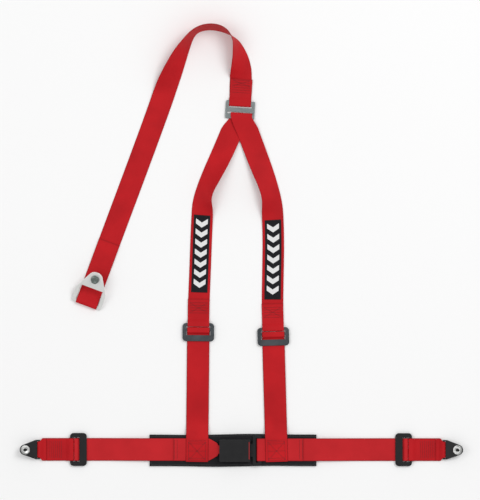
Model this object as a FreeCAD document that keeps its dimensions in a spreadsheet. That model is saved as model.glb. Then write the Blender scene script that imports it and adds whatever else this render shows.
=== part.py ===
import FreeCAD, Part
import math
import os

from FreeCAD import Placement, Rotation, Vector

# Three-point racing harness lying flat: two shoulder straps that join in a rear strap, a lap belt in
# two halves with a lift-latch buckle, a lap pad and bolt-in anchor plates. Millimetres, +Z up.
# Origin: centre of the lap pad's back face. The lap belt runs along X, the shoulder straps along +Y.

# ---------------------------------------------------------------- driving dimensions

SIZES = {
    "webbing_width": 50.0,
    "webbing_thickness": 1.5,
    "ply_gap": 0.1,
    "plate_thickness": 3.0,
    "edge_round": 0.7,
    "pad_length": 380.0,
    "pad_width": 74.0,
    "pad_height": 6.0,
    "pad_skin": 0.8,
    "label_length": 180.0,
    "label_width": 37.5,
    "label_thickness": 0.6,
    "adjuster_corner": 8.0,
    "lap_adjuster_span": 75.0,
    "shoulder_adjuster_span": 72.0,
    "slide_span": 66.5,
    "slide_corner": 3.0,
    "anchor_width": 44.0,
    "anchor_tip_radius": 12.0,
    "anchor_bar": 5.0,
    "anchor_slot_width": 39.0,
    "anchor_slot_length": 2.9,
    "anchor_reach": 34.0,
    "rear_width": 71.0,
    "rear_bar": 7.0,
    "rear_slot_width": 54.0,
    "rear_slot_length": 38.0,
    "rear_reach": 65.0,
    "rear_tip_radius": 17.0,
    "shank_radius": 5.55,
    "shoulder_radius": 6.3,
    "shank_clearance": 0.1,
    "relief_radius": 5.0,
    "relief_length": 0.6,
    "point_chamfer": 1.0,
    "lap_bolt_length": 19.05,
    "rear_bolt_length": 31.75,
    "lap_head_flats": 17.0,
    "rear_head_flats": 15.9,
    "head_height": 6.5,
    "washer_radius": 10.5,
    "washer_thickness": 1.2,
    "retainer_radius": 8.0,
    "retainer_thickness": 1.0,
    "lid_length": 70.4,
    "lid_width": 50.0,
    "lid_top": 22.5,
    "lid_bottom": 12.5,
    "lid_skin": 2.0,
    "frame_width": 45.0,
    "frame_sheet": 1.5,
    "tongue_width": 70.0,
    "blade_width": 30.0,
    "web_bar_radius": 3.2,
    "hinge_pin_radius": 1.75,
    "spring_wire": 0.5,
}

doc = FreeCAD.newDocument("racing_harness")
sheet = doc.addObject("Spreadsheet::Sheet", "Sizes")
for row, (alias, number) in enumerate(SIZES.items(), start=1):
    sheet.set(f"A{row}", alias)
    sheet.set(f"B{row}", str(number))
    sheet.setAlias(f"B{row}", alias)
doc.recompute()


def size(alias):
    """A driving dimension, read from the sheet."""
    return float(getattr(sheet, alias))


WEB = size("webbing_thickness")
GAP = size("ply_gap")
PLATE = size("plate_thickness")
HALF_WEB = size("webbing_width") / 2

# ---------------------------------------------------------------- levels above the ground

PLY_ONE = GAP + WEB / 2
PLY_TWO = PLY_ONE + WEB + GAP
HARDWARE_LOW = 2 * (WEB + GAP) + 2 * GAP
HARDWARE_TOP = HARDWARE_LOW + PLATE
OVER_HARDWARE = HARDWARE_TOP + GAP + WEB / 2
PAD_TOP = size("pad_height")
LAP_ONE = PAD_TOP + 2 * GAP + WEB / 2
LAP_TWO = LAP_ONE + WEB + GAP
CHEST_OVER_LAP = LAP_TWO + WEB + GAP
SLIDE_LOW = WEB + 3 * GAP
SLIDE_TOP = SLIDE_LOW + PLATE
OVER_SLIDE = SLIDE_TOP + GAP + WEB / 2

# ---------------------------------------------------------------- places of the hardware

# Each adjuster: its sewn edge's middle, the way its free end points, and the bars along its length.
LAP_BARS = {"sewn": 6.0, "loop_slot": 6.2, "middle": 3.3, "thread_slot": 6.0, "free": 16.5}
SHOULDER_BARS = {"sewn": 6.0, "loop_slot": 6.5, "middle": 5.0, "thread_slot": 10.0, "free": 14.0}
LEFT_LAP = {"x": -371.2, "y": 2.0, "turn": 0.0, "bars": LAP_BARS, "span": "lap_adjuster_span"}
RIGHT_LAP = {"x": 407.9, "y": 1.5, "turn": 180.0, "bars": LAP_BARS, "span": "lap_adjuster_span"}
LEFT_SHOULDER = {
    "x": -78.7, "y": 290.0, "turn": -90.6, "bars": SHOULDER_BARS, "span": "shoulder_adjuster_span",
}
RIGHT_SHOULDER = {
    "x": 91.3, "y": 280.0, "turn": -88.4, "bars": SHOULDER_BARS, "span": "shoulder_adjuster_span",
}

# The Y slide: three bars along its length from the rear strap's side.
SLIDE_BARS = {"rear": 10.0, "rear_slot": 5.5, "middle": 9.5, "shoulder_slot": 4.5, "shoulder": 11.5}
SLIDE_X = 16.3
SLIDE_Y = 775.6
SLIDE_TURN = -3.8

# Anchor bars, where the plates hinge in their webbing loops.
END_TAIL = 53.5
LEFT_ANCHOR_X = -441.6
RIGHT_ANCHOR_X = 480.0
REAR_BASE_X = -333.5
REAR_BASE_Y = 334.4
REAR_LEAN = 20.3
REAR_TAIL = 150.0

# Buckle, from its webbing end to its mouth.
WEB_BAR_X = -22.0
WEB_BAR_Z = LAP_ONE + WEB / 2 + size("web_bar_radius") + GAP
HINGE_X = -28.0
HINGE_Z = 17.5
FRAME_MOUTH = 37.0
LID_LEFT = -31.2
TOOTH_X = 16.0
TONGUE_LOW = LAP_ONE + WEB / 2 + GAP
TONGUE_TOP = TONGUE_LOW + PLATE
TONGUE_NOSE = 6.0
TONGUE_CROSSBAR = 44.0
TONGUE_SLOT = (52.0, 57.0)
TONGUE_END = 65.0


# ---------------------------------------------------------------- document helpers


def plane(body, role):
    """One of a body's own origin planes."""
    for feature in body.Origin.OriginFeatures:
        if feature.Role == role:
            return feature
    raise ValueError(role)


def new_body(name, placement=Placement()):
    """A sub-part's body, labelled with its node name."""
    body = doc.addObject("PartDesign::Body", name)
    body.Label = name
    body.Placement = placement
    return body


def new_sketch(body, name, role, height=0.0):
    """A sketch on one of the body's origin planes, lifted along the plane's normal."""
    sketch = body.newObject("Sketcher::SketchObject", name)
    sketch.AttachmentSupport = [(plane(body, role), "")]
    sketch.MapMode = "FlatFace"
    sketch.AttachmentOffset = Placement(Vector(0, 0, height), Rotation())
    return sketch


def bind(feature, prop, expression):
    """Drives one property from the sheet."""
    feature.setExpression(prop, expression)


def pad(body, sketch, name, expression, midplane=False):
    """A pad whose length is driven by the sheet."""
    feature = body.newObject("PartDesign::Pad", name)
    feature.Profile = sketch
    feature.SideType = "Symmetric" if midplane else "One side"
    bind(feature, "Length", expression)
    doc.recompute()
    return feature


def pocket(body, sketch, name, depth, midplane=True):
    """A pocket, and a check that it has cut something."""
    before = body.Shape.Volume
    feature = body.newObject("PartDesign::Pocket", name)
    feature.Profile = sketch
    feature.SideType = "Symmetric" if midplane else "One side"
    feature.Length = depth
    doc.recompute()
    if body.Shape.Volume > before - 1e-6:
        raise ValueError(f"{name} cut nothing")
    return feature


def round_edges(body, base, name, radius_alias, edges):
    """A fillet on the named edges of the body's last feature."""
    feature = body.newObject("PartDesign::Fillet", name)
    feature.Base = (base, edges)
    bind(feature, "Radius", f"Sizes.{radius_alias}")
    doc.recompute()
    return feature


def flat_edges(shape, level, tolerance=1e-4):
    """Names of the edges that lie in the plane z = level."""
    names = []
    for index, edge in enumerate(shape.Edges, start=1):
        box = edge.BoundBox
        if abs(box.ZMin - level) < tolerance and abs(box.ZMax - level) < tolerance:
            names.append(f"Edge{index}")
    return names


def add_loop(sketch, points):
    """A closed outline of straight lines."""
    for start, end in zip(points, points[1:] + points[:1]):
        sketch.addGeometry(Part.LineSegment(Vector(*start, 0), Vector(*end, 0)), False)


def add_edges(sketch, edges):
    """A closed outline given as lines and arcs."""
    for edge in edges:
        sketch.addGeometry(edge, False)


def rounded_rectangle(low_x, high_x, low_y, high_y, radius):
    """Lines and quarter arcs of a rectangle with round corners."""
    corners = [
        (high_x - radius, high_y - radius, 0),
        (low_x + radius, high_y - radius, 90),
        (low_x + radius, low_y + radius, 180),
        (high_x - radius, low_y + radius, 270),
    ]
    edges = []
    for index, (x, y, angle) in enumerate(corners):
        centre = Vector(x, y, 0)
        arm = [centre + polar(radius, angle + step) for step in (0, 45, 90)]
        edges.append(Part.Arc(*arm))
        next_x, next_y, next_angle = corners[(index + 1) % 4]
        edges.append(Part.LineSegment(arm[2], Vector(next_x, next_y, 0) + polar(radius, next_angle)))
    return edges


def polar(radius, degrees):
    """A vector of this length in the XY plane."""
    return Vector(radius * math.cos(math.radians(degrees)), radius * math.sin(math.radians(degrees)), 0)


# ---------------------------------------------------------------- webbing


def side_outline(vertices, thickness):
    """The closed side view of a ply that follows vertices (along, up, bend radius of the middle line)."""
    half = thickness / 2
    left, right = [], []
    points = [Vector(a, b, 0) for a, b, _ in vertices]
    start = points[0]
    for index in range(1, len(points)):
        run = (points[index] - points[index - 1]).normalize()
        normal = Vector(-run.y, run.x, 0)
        last = index == len(points) - 1
        if last:
            end = points[index]
        else:
            after = (points[index + 1] - points[index]).normalize()
            cross = run.x * after.y - run.y * after.x
            turn = math.acos(max(-1.0, min(1.0, run.dot(after))))
            radius = vertices[index][2]
            cut = radius * math.tan(turn / 2)
            end = points[index] - run * cut
        if (end - start).Length > 1e-6:
            left.append(Part.LineSegment(start + normal * half, end + normal * half))
            right.append(Part.LineSegment(end - normal * half, start - normal * half))
        if last:
            break
        side = 1 if cross > 0 else -1
        centre = end + normal * side * radius
        leave = points[index] + after * cut
        middle = (points[index] - centre).normalize()
        leave_normal = Vector(-after.y, after.x, 0)
        for group, sign in ((left, 1), (right, -1)):
            arc_radius = radius - side * sign * half
            first = end + normal * sign * half
            final = leave + leave_normal * sign * half
            pass_point = centre + middle * arc_radius
            if sign == 1:
                group.append(Part.Arc(first, pass_point, final))
            else:
                group.append(Part.Arc(final, pass_point, first))
        start = leave
    cap_end = Part.LineSegment(end + normal * half, end - normal * half)
    run = (points[1] - points[0]).normalize()
    normal = Vector(-run.y, run.x, 0)
    cap_start = Part.LineSegment(points[0] - normal * half, points[0] + normal * half)
    return left + [cap_end] + right[::-1] + [cap_start]


def strap(name, vertices, placement):
    """A strap of constant width: its side view, padded across the webbing."""
    body = new_body(name, placement)
    sketch = new_sketch(body, f"{name}_side", "XZ_Plane")
    add_edges(sketch, side_outline(vertices, WEB))
    pad(body, sketch, f"{name}_web", "Sizes.webbing_width", midplane=True)
    return body


def narrow(body, along_wide, along_narrow, along_end, half_narrow):
    """Folds a strap's two edges in, from full width to a narrow neck, before a loop."""
    over = HALF_WEB + 1
    for side in (1, -1):
        tag = "left" if side > 0 else "right"
        sketch = new_sketch(body, f"{body.Name}_{tag}_neck", "XY_Plane")
        add_loop(
            sketch,
            [
                (along_wide, side * HALF_WEB),
                (along_narrow, side * half_narrow),
                (along_end, side * half_narrow),
                (along_end, side * over),
                (along_wide, side * over),
            ],
        )
        pocket(body, sketch, f"{body.Name}_{tag}_fold", 60.0)
    return body


def along_bars(bars):
    """Where each bar and slot starts and ends along its slide."""
    spans = {}
    at = 0.0
    for name, length in bars.items():
        spans[name] = (at, at + length)
        at += length
    return spans


def threaded_end(bars, tail):
    """Middle line of webbing threaded round a slide's middle bar, from the tail to the free bar."""
    spans = along_bars(bars)
    slot_low, slot_high = spans["thread_slot"]
    middle_low = spans["middle"][0]
    slope = 1.1
    slot_middle = (slot_low + slot_high) / 2
    level = (HARDWARE_LOW + HARDWARE_TOP) / 2
    wrap = middle_low - 2.3
    return [
        (tail, PLY_ONE, 0),
        (wrap, PLY_ONE, 2.6),
        (wrap, OVER_HARDWARE, 2.0),
        (slot_middle - (OVER_HARDWARE - level) / slope, OVER_HARDWARE, 1.5),
        (slot_middle + (level - PLY_TWO) / slope, PLY_TWO, 1.5),
    ]


def sewn_loop(bars, tail):
    """Middle line of webbing sewn round a slide's first bar, from its tail on top to the ply below."""
    sewn_low, sewn_high = along_bars(bars)["sewn"]
    near = sewn_low - WEB / 2 - 0.6
    far = sewn_high + WEB / 2 + 1.0
    return [
        (-tail, PLY_TWO, 0),
        (near - 8.5, PLY_TWO, 6.0),
        (near + 0.3, OVER_HARDWARE, 5.0),
        (far, OVER_HARDWARE, 2.0),
        (far, PLY_ONE, 2.0),
    ]


def bar_loop(at, side, radius, low):
    """Middle line round a hinge bar at this place, entered along the lower ply."""
    middle = radius + WEB / 2
    return [
        (at + side * middle, low, middle),
        (at + side * middle, low + 2 * middle, middle),
    ]


def placed(where, shift=0.0):
    """A slide's placement: its sewn edge at the origin and +X towards its free end."""
    return Placement(Vector(where["x"], where["y"], shift), Rotation(Vector(0, 0, 1), where["turn"]))


ANCHOR_CAVITY = math.hypot(size("anchor_bar") / 2, PLATE / 2) + 0.2
REAR_CAVITY = math.hypot(size("rear_bar") / 2, PLATE / 2) + 0.3
ANCHOR_Z = PLY_ONE + WEB / 2 + ANCHOR_CAVITY
REAR_Z = PLY_ONE + WEB / 2 + REAR_CAVITY


def left_lap_strap():
    """From its tail on top of the belt, round the buckle's web bar, out to the left adjuster."""
    place = placed(LEFT_LAP)
    bar = WEB_BAR_X - LEFT_LAP["x"]
    middle = size("web_bar_radius") + GAP + WEB / 2
    tail = -136.0 - LEFT_LAP["x"]
    pad_edge = -size("pad_length") / 2 - LEFT_LAP["x"]
    vertices = [
        (tail, LAP_TWO, 0),
        (bar - 24.0, LAP_TWO, 20.0),
        (bar - 4.5, LAP_ONE + 2 * middle, 12.0),
        (bar + middle, LAP_ONE + 2 * middle, middle),
        (bar + middle, LAP_ONE, middle),
        (pad_edge - 4.0, LAP_ONE, 60.0),
        (pad_edge - 90.0, PLY_TWO, 60.0),
    ]
    vertices += threaded_end(LAP_BARS, 95.0)[::-1]
    body = strap("left_lap_strap", vertices, place)
    return narrow(body, bar - 31.0, bar - 13.0, bar + 12.0, 10.5)


def right_lap_strap():
    """From its tail on top of the belt, round the tongue's outer bar, out to the right adjuster."""
    place = placed(RIGHT_LAP)
    start = RIGHT_LAP["x"]
    middle = (PLATE + 2 * GAP + WEB) / 2
    bar_left = start - TONGUE_SLOT[1] + middle - 0.3
    vertices = [
        (start - 160.7, LAP_TWO, 0),
        (start - 73.2, LAP_TWO, 3.0),
        (start - 66.0, LAP_ONE + 2 * middle, 3.0),
        (bar_left, LAP_ONE + 2 * middle, middle),
        (bar_left, LAP_ONE, middle),
        (start - 194.0, LAP_ONE, 60.0),
        (start - 280.0, PLY_TWO, 60.0),
    ]
    vertices += threaded_end(LAP_BARS, 95.0)[::-1]
    return strap("right_lap_strap", vertices, place)


def end_strap(name, where, anchor_distance):
    """The short doubled strap between a lap adjuster's sewn bar and its anchor plate."""
    hinge = -anchor_distance
    middle = ANCHOR_CAVITY + WEB / 2
    vertices = sewn_loop(LAP_BARS, END_TAIL)
    vertices += bar_loop(hinge, -1, ANCHOR_CAVITY, PLY_ONE)
    vertices += [
        (hinge + 2.0, PLY_ONE + 2 * middle, 4.0),
        (hinge + 11.0, PLY_TWO, 5.0),
        (-END_TAIL - 1.0, PLY_TWO, 0),
    ]
    body = strap(name, vertices, placed(where))
    return narrow(body, hinge + 8.0, hinge + 0.5, hinge - 8.0, 18.2)


def chest_strap(name, where, foot):
    """From the shoulder adjuster down over the lap strap, where it is sewn on."""
    vertices = threaded_end(SHOULDER_BARS, 110.0)
    belt_top = foot - 2 * HALF_WEB
    vertices += [
        (belt_top - 34.0, PLY_TWO, 30.0),
        (belt_top - 5.5, CHEST_OVER_LAP, 18.0),
        (foot, CHEST_OVER_LAP, 0),
    ]
    return strap(name, vertices, placed(where))


def smooth(stations, steps):
    """Points on a Catmull-Rom curve through the stations, whatever number of values each has."""
    found = []
    last = len(stations) - 1
    for index in range(last):
        p0 = stations[max(index - 1, 0)]
        p1 = stations[index]
        p2 = stations[index + 1]
        p3 = stations[min(index + 2, last)]
        for step in range(steps):
            t = step / steps
            found.append(
                tuple(
                    0.5 * (2 * b + (c - a) * t + (2 * a - 5 * b + 4 * c - d) * t * t
                           + (3 * b - a - 3 * c + d) * t ** 3)
                    for a, b, c, d in zip(p0, p1, p2, p3)
                )
            )
    found.append(tuple(stations[last]))
    return found


def edge_sections(path, side, steps):
    """Cross-sections (near edge, far edge) from one edge's path (x, y, z, roll), where roll is how far
    the ply is turned up about that edge. It lies left of the way along for side 1, right for -1."""
    points = smooth(path, steps)
    sections = []
    for index, (x, y, z, roll) in enumerate(points):
        before = points[max(index - 1, 0)]
        after = points[min(index + 1, len(points) - 1)]
        flat = Vector(before[1] - after[1], after[0] - before[0], 0).normalize() * side
        angle = math.radians(min(max(roll, 0.0), 180.0))
        across = flat * math.cos(angle) + Vector(0, 0, 1) * math.sin(angle)
        near = Vector(x, y, z)
        sections.append((near, near + across * (2 * HALF_WEB)))
    return sections


def arc_step(start, centre, turn):
    """A point turned about a centre, in the side view."""
    arm = start - centre
    return centre + Vector(
        arm.x * math.cos(turn) - arm.y * math.sin(turn), arm.x * math.sin(turn) + arm.y * math.cos(turn), 0
    )


def side_sections(place, vertices, flip=False):
    """Cross-sections of webbing that keeps to one vertical plane, its bends in steps of about 25 degrees."""
    corners = [Vector(a, b, 0) for a, b, _ in vertices]
    path = [corners[0]]
    for index in range(1, len(corners) - 1):
        run = (corners[index] - corners[index - 1]).normalize()
        after = (corners[index + 1] - corners[index]).normalize()
        turn = math.acos(max(-1.0, min(1.0, run.dot(after))))
        side = 1 if run.x * after.y - run.y * after.x > 0 else -1
        radius = vertices[index][2]
        start = corners[index] - run * radius * math.tan(turn / 2)
        centre = start + Vector(-run.y, run.x, 0) * side * radius
        if (start - path[-1]).Length > 1e-3:
            path.append(start)
        steps = max(1, math.ceil(math.degrees(turn) / 25))
        path += [arc_step(start, centre, side * turn * step / steps) for step in range(1, steps + 1)]
    path.append(corners[-1])
    half = -HALF_WEB if flip else HALF_WEB
    return [
        (place.multVec(Vector(a, -half, b)), place.multVec(Vector(a, half, b))) for a, b, _ in path
    ]


def ribbon(sections):
    """One webbing solid through cross-sections, faceted because the ply twists as it bends."""
    middles = [(near + far) * 0.5 for near, far in sections]
    rings = []
    for index, (near, far) in enumerate(sections):
        along = middles[min(index + 1, len(middles) - 1)] - middles[max(index - 1, 0)]
        normal = along.cross(far - near).normalize() * (WEB / 2)
        rings.append([near + normal, far + normal, far - normal, near - normal])
    faces = []
    for first, second in zip(rings, rings[1:]):
        for corner in range(4):
            turn = (corner + 1) % 4
            for triangle in (
                (first[corner], first[turn], second[turn]),
                (first[corner], second[turn], second[corner]),
            ):
                faces.append(Part.Face(Part.makePolygon([*triangle, triangle[0]])))
    for ring_points in (rings[0], rings[-1]):
        for triangle in (ring_points[:3], [ring_points[0], ring_points[2], ring_points[3]]):
            faces.append(Part.Face(Part.makePolygon([*triangle, triangle[0]])))
    solid = Part.Solid(Part.Shell(faces))
    if solid.Volume < 0:
        solid.reverse()
    return solid


def feature(name, shape):
    """A document object that holds a shape made in code from the sheet's sizes."""
    item = doc.addObject("Part::Feature", name)
    item.Shape = shape
    return item


def fused(name, pieces):
    """One sub-part fused from several objects."""
    item = doc.addObject("Part::MultiFuse", name)
    item.Label = name
    item.Shapes = pieces
    item.Refine = False
    doc.recompute()
    return item


# Stations of the shoulder straps' outer edges, from the Y slide down to the adjusters. The inner edge
# lifts where each strap turns, because flat webbing can't bend in its own plane.
LEFT_EDGE = [
    (-20.5, 749.0, PLY_ONE, 0),
    (-30.0, 727.0, PLY_ONE, 2),
    (-47.5, 684.5, PLY_ONE, 11),
    (-67.9, 638.9, PLY_ONE, 24),
    (-85.5, 593.3, PLY_ONE, 42),
    (-92.0, 566.0, PLY_ONE, 26),
    (-94.6, 543.0, PLY_ONE, 0),
    (-97.2, 490.0, PLY_ONE, 0),
    (-99.5, 420.0, PLY_ONE, 0),
    (-102.5, 350.0, PLY_ONE, 0),
    (-103.6, 312.0, PLY_ONE, 0),
]
RIGHT_EDGE = [
    (52.5, 749.0, OVER_SLIDE - 0.6, 0),
    (61.0, 725.0, PLY_TWO + 0.3, 0),
    (75.9, 684.5, PLY_TWO, 4),
    (92.3, 638.9, PLY_ONE, 17),
    (106.0, 593.3, PLY_ONE, 34),
    (112.5, 563.0, PLY_ONE, 19),
    (115.6, 534.0, PLY_ONE, 0),
    (117.0, 485.0, PLY_ONE, 0),
    (117.0, 440.0, PLY_ONE, 0),
    (114.8, 350.0, PLY_ONE, 0),
    (115.4, 302.0, PLY_ONE, 0),
]
# Stations of the rear strap's right-hand edge, up from the slide, over the arch and down the other
# leg. The strap rolls through half a turn, so it lies back up on the second leg.
REAR_EDGE = [
    (41.8, 818.0, PLY_ONE, 0),
    (42.9, 844.0, PLY_ONE, 3),
    (41.7, 871.0, PLY_ONE, 22),
    (34.4, 899.0, PLY_ONE, 43),
    (22.0, 921.6, PLY_ONE, 62),
    (10.0, 937.5, PLY_ONE, 78),
    (-17.0, 952.0, PLY_ONE, 97),
    (-52.0, 959.4, PLY_ONE, 97),
    (-79.8, 953.0, PLY_ONE, 94),
    (-91.0, 938.0, PLY_ONE, 104),
    (-99.5, 913.0, PLY_ONE, 123),
    (-105.5, 893.0, PLY_ONE, 134),
    (-119.0, 848.6, PLY_ONE, 155),
    (-128.3, 821.3, PLY_ONE, 169),
    (-138.7, 789.3, PLY_ONE, 180),
    (-176.6, 684.5, PLY_ONE, 180),
]


def slide_point(along, across=0.0):
    """A point of the Y slide, measured along it from its rear edge."""
    length = sum(SLIDE_BARS.values())
    turn = Rotation(Vector(0, 0, 1), SLIDE_TURN - 90)
    return Vector(SLIDE_X, SLIDE_Y, 0) + turn.multVec(Vector(along - length / 2, across, 0))


def slide_placement(along, across=0.0):
    """A placement on the Y slide, +X towards the shoulder straps."""
    return Placement(slide_point(along, across), Rotation(Vector(0, 0, 1), SLIDE_TURN - 90))


def shoulder_strap():
    """One webbing: sewn round the left adjuster, through the Y slide, sewn round the right adjuster."""
    bar_low, bar_high = along_bars(SLIDE_BARS)["shoulder"]
    turn = (OVER_SLIDE - PLY_ONE) / 2
    near = bar_low - GAP - WEB / 2 - 1.25
    wrap = side_sections(
        slide_placement(0.0, 3.6),
        [
            (bar_high + 1.0, PLY_ONE, 0),
            (near, PLY_ONE, turn),
            (near, OVER_SLIDE, turn),
            (bar_high + 1.5, OVER_SLIDE, 0),
        ],
    )
    left = side_sections(placed(LEFT_SHOULDER), sewn_loop(SHOULDER_BARS, 55.0) + [(-16.0, PLY_ONE, 0)])
    right = side_sections(placed(RIGHT_SHOULDER), sewn_loop(SHOULDER_BARS, 54.5) + [(-16.0, PLY_ONE, 0)])
    # Both legs' edges run down from the slide, so the left one is turned about to lead up to it.
    left_leg = edge_sections(LEFT_EDGE, 1, 3)
    right_leg = edge_sections(RIGHT_EDGE, -1, 3)
    right_leg = [(far, outer) for outer, far in right_leg]
    return feature("shoulder_strap", ribbon(left + left_leg[::-1] + wrap + right_leg + right[::-1]))


def rear_placement():
    """The rear anchor's base bar, +X up the strap."""
    return Placement(Vector(REAR_BASE_X, REAR_BASE_Y, 0), Rotation(Vector(0, 0, 1), 90 - REAR_LEAN))


def rear_strap():
    """Sewn round the Y slide's rear bar, over the arch, and sewn round the rear anchor's bar."""
    bar_low, bar_high = along_bars(SLIDE_BARS)["rear"]
    turn = (OVER_SLIDE - PLY_ONE) / 2
    far = bar_high + GAP + WEB / 2 + 1.25
    top = side_sections(
        slide_placement(0.0, -1.2),
        [
            (-50.0, PLY_TWO, 0),
            (bar_low - 9.0, PLY_TWO, 8.0),
            (bar_low - 1.0, OVER_SLIDE, 6.0),
            (far, OVER_SLIDE, turn),
            (far, PLY_ONE, turn),
            (-18.0, PLY_ONE, 0),
        ],
        flip=True,
    )
    middle = REAR_CAVITY + WEB / 2
    base = side_sections(
        rear_placement(),
        [
            (REAR_TAIL, PLY_ONE, 0),
            *bar_loop(0.0, -1, REAR_CAVITY, PLY_ONE),
            (2.0, PLY_ONE + 2 * middle, 5.0),
            (20.0, PLY_TWO, 12.0),
            (REAR_TAIL, PLY_TWO, 0),
        ],
    )
    reach = rear_placement().multVec(Vector(REAR_TAIL + 12.0, -HALF_WEB, PLY_ONE))
    arch = edge_sections(REAR_EDGE + [(reach.x, reach.y, PLY_ONE, 180)], 1, 3)
    return feature("rear_strap", ribbon(top + arch + base))


# ---------------------------------------------------------------- slides and adjusters


def three_bar_slide(name, bars, span_alias, corner_alias, placement, low, side_gaps):
    """A pressed-steel slide: a rounded plate with a slot each side of its middle bar."""
    spans = along_bars(bars)
    names = list(bars)
    length = sum(bars.values())
    half = size(span_alias) / 2
    body = new_body(name, placement)
    sketch = new_sketch(body, f"{name}_outline", "XY_Plane", low)
    add_edges(sketch, rounded_rectangle(0.0, length, -half, half, size(corner_alias)))
    plate = pad(body, sketch, f"{name}_plate", "Sizes.plate_thickness")
    edges = flat_edges(body.Shape.copy().transformed(placement.inverse().toMatrix()), low + PLATE)
    plate = round_edges(body, plate, f"{name}_top_round", "edge_round", edges)
    slots = new_sketch(body, f"{name}_slots", "XY_Plane", low)
    for slot, gap in zip((names[1], names[3]), side_gaps):
        slot_low, slot_high = spans[slot]
        inner = HALF_WEB + gap
        add_edges(slots, rounded_rectangle(slot_low, slot_high, -inner, inner, 1.0))
    pocket(body, slots, f"{name}_slot_cut", 4 * PLATE)
    return body


def shoulder_and_lap_adjusters():
    """The four length adjusters."""
    made = []
    for name, where in (
        ("left_lap_adjuster", LEFT_LAP),
        ("right_lap_adjuster", RIGHT_LAP),
        ("left_shoulder_adjuster", LEFT_SHOULDER),
        ("right_shoulder_adjuster", RIGHT_SHOULDER),
    ):
        made.append(
            three_bar_slide(
                name, where["bars"], where["span"], "adjuster_corner", placed(where), HARDWARE_LOW, (3.0, 3.0)
            )
        )
    return made


def y_slide():
    """The slide that joins the rear strap to the two shoulder straps."""
    return three_bar_slide(
        "y_slide", SLIDE_BARS, "slide_span", "slide_corner", slide_placement(0.0), SLIDE_LOW, (2.2, 4.4)
    )


# ---------------------------------------------------------------- anchors


def rest_tilt(hinge_height, reach, shank, floor):
    """The angle at which a plate leans on its bolt's tip, whose chamfer edge touches the floor."""
    arm = reach - (size("shank_radius") - 1.0)
    drop = hinge_height - floor
    return math.degrees(math.acos(drop / math.hypot(shank, arm)) - math.atan2(arm, shank))


def anchor_plane(place, hinge_height, tilt):
    """The anchor's own frame: origin on the hinge line, +X to the tip, +Z out of its face."""
    lift = Placement(Vector(0, 0, hinge_height), Rotation(Vector(0, 1, 0), -tilt))
    return place.multiply(lift)


def anchor_outline(half_base, bar, reach, tip_radius, side_length):
    """Outline of an anchor plate: square base corners, straight sides, and a round tip at the bolt."""
    start = -bar / 2
    corner = Vector(side_length, half_base, 0)
    centre = Vector(reach, 0, 0)
    away = centre - corner
    slope = math.atan2(away.y, away.x) + math.asin(tip_radius / away.Length)
    touch = centre + polar(tip_radius, math.degrees(slope) + 90)
    mirror = Vector(touch.x, -touch.y, 0)
    low_corner = Vector(side_length, -half_base, 0)
    round_base = 2.0
    return [
        Part.LineSegment(Vector(start, -half_base + round_base, 0), Vector(start, half_base - round_base, 0)),
        Part.Arc(
            Vector(start, half_base - round_base, 0),
            Vector(start + round_base, half_base - round_base, 0) + polar(round_base, 135),
            Vector(start + round_base, half_base, 0),
        ),
        Part.LineSegment(Vector(start + round_base, half_base, 0), corner),
        Part.LineSegment(corner, touch),
        Part.Arc(touch, centre + Vector(tip_radius, 0, 0), mirror),
        Part.LineSegment(mirror, low_corner),
        Part.LineSegment(low_corner, Vector(start + round_base, -half_base, 0)),
        Part.Arc(
            Vector(start + round_base, -half_base, 0),
            Vector(start + round_base, -half_base + round_base, 0) + polar(round_base, 225),
            Vector(start, -half_base + round_base, 0),
        ),
    ]


def anchor_plate(name, frame, prefix, side_length):
    """A bolt-in plate: base bar, webbing slot and bolt hole, in its own tilted frame."""
    bar = size(f"{prefix}_bar")
    reach = size(f"{prefix}_reach")
    body = new_body(name, frame)
    sketch = new_sketch(body, f"{name}_outline", "XY_Plane", -PLATE / 2)
    half = size(f"{prefix}_width") / 2
    add_edges(sketch, anchor_outline(half, bar, reach, size(f"{prefix}_tip_radius"), side_length))
    plate = pad(body, sketch, f"{name}_plate", "Sizes.plate_thickness")
    edges = flat_edges(body.Shape.copy().transformed(frame.inverse().toMatrix()), PLATE / 2)
    round_edges(body, plate, f"{name}_round", "edge_round", edges)
    cuts = new_sketch(body, f"{name}_holes", "XY_Plane", 0.0)
    slot_half = size(f"{prefix}_slot_width") / 2
    slot_end = bar / 2 + size(f"{prefix}_slot_length")
    corner = min(2.0, size(f"{prefix}_slot_length") / 2 - 0.05)
    add_edges(cuts, rounded_rectangle(bar / 2, slot_end, -slot_half, slot_half, corner))
    hole = size("shoulder_radius") + size("shank_clearance")
    cuts.addGeometry(Part.Circle(Vector(reach, 0, 0), Vector(0, 0, 1), hole), False)
    pocket(body, cuts, f"{name}_cut", 4 * PLATE)
    return body


def hexagon(flats):
    """Corners of a hexagon with this distance across its flats."""
    return [(polar(flats / math.sqrt(3), 30 + 60 * k).x, polar(flats / math.sqrt(3), 30 + 60 * k).y)
            for k in range(6)]


# The bolt's shoulder spans the washer, the plate and the retainer, and stands a little proud.
SHOULDER_LENGTH = size("washer_thickness") + PLATE + size("retainer_thickness") + 3 * GAP + 0.4


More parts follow.
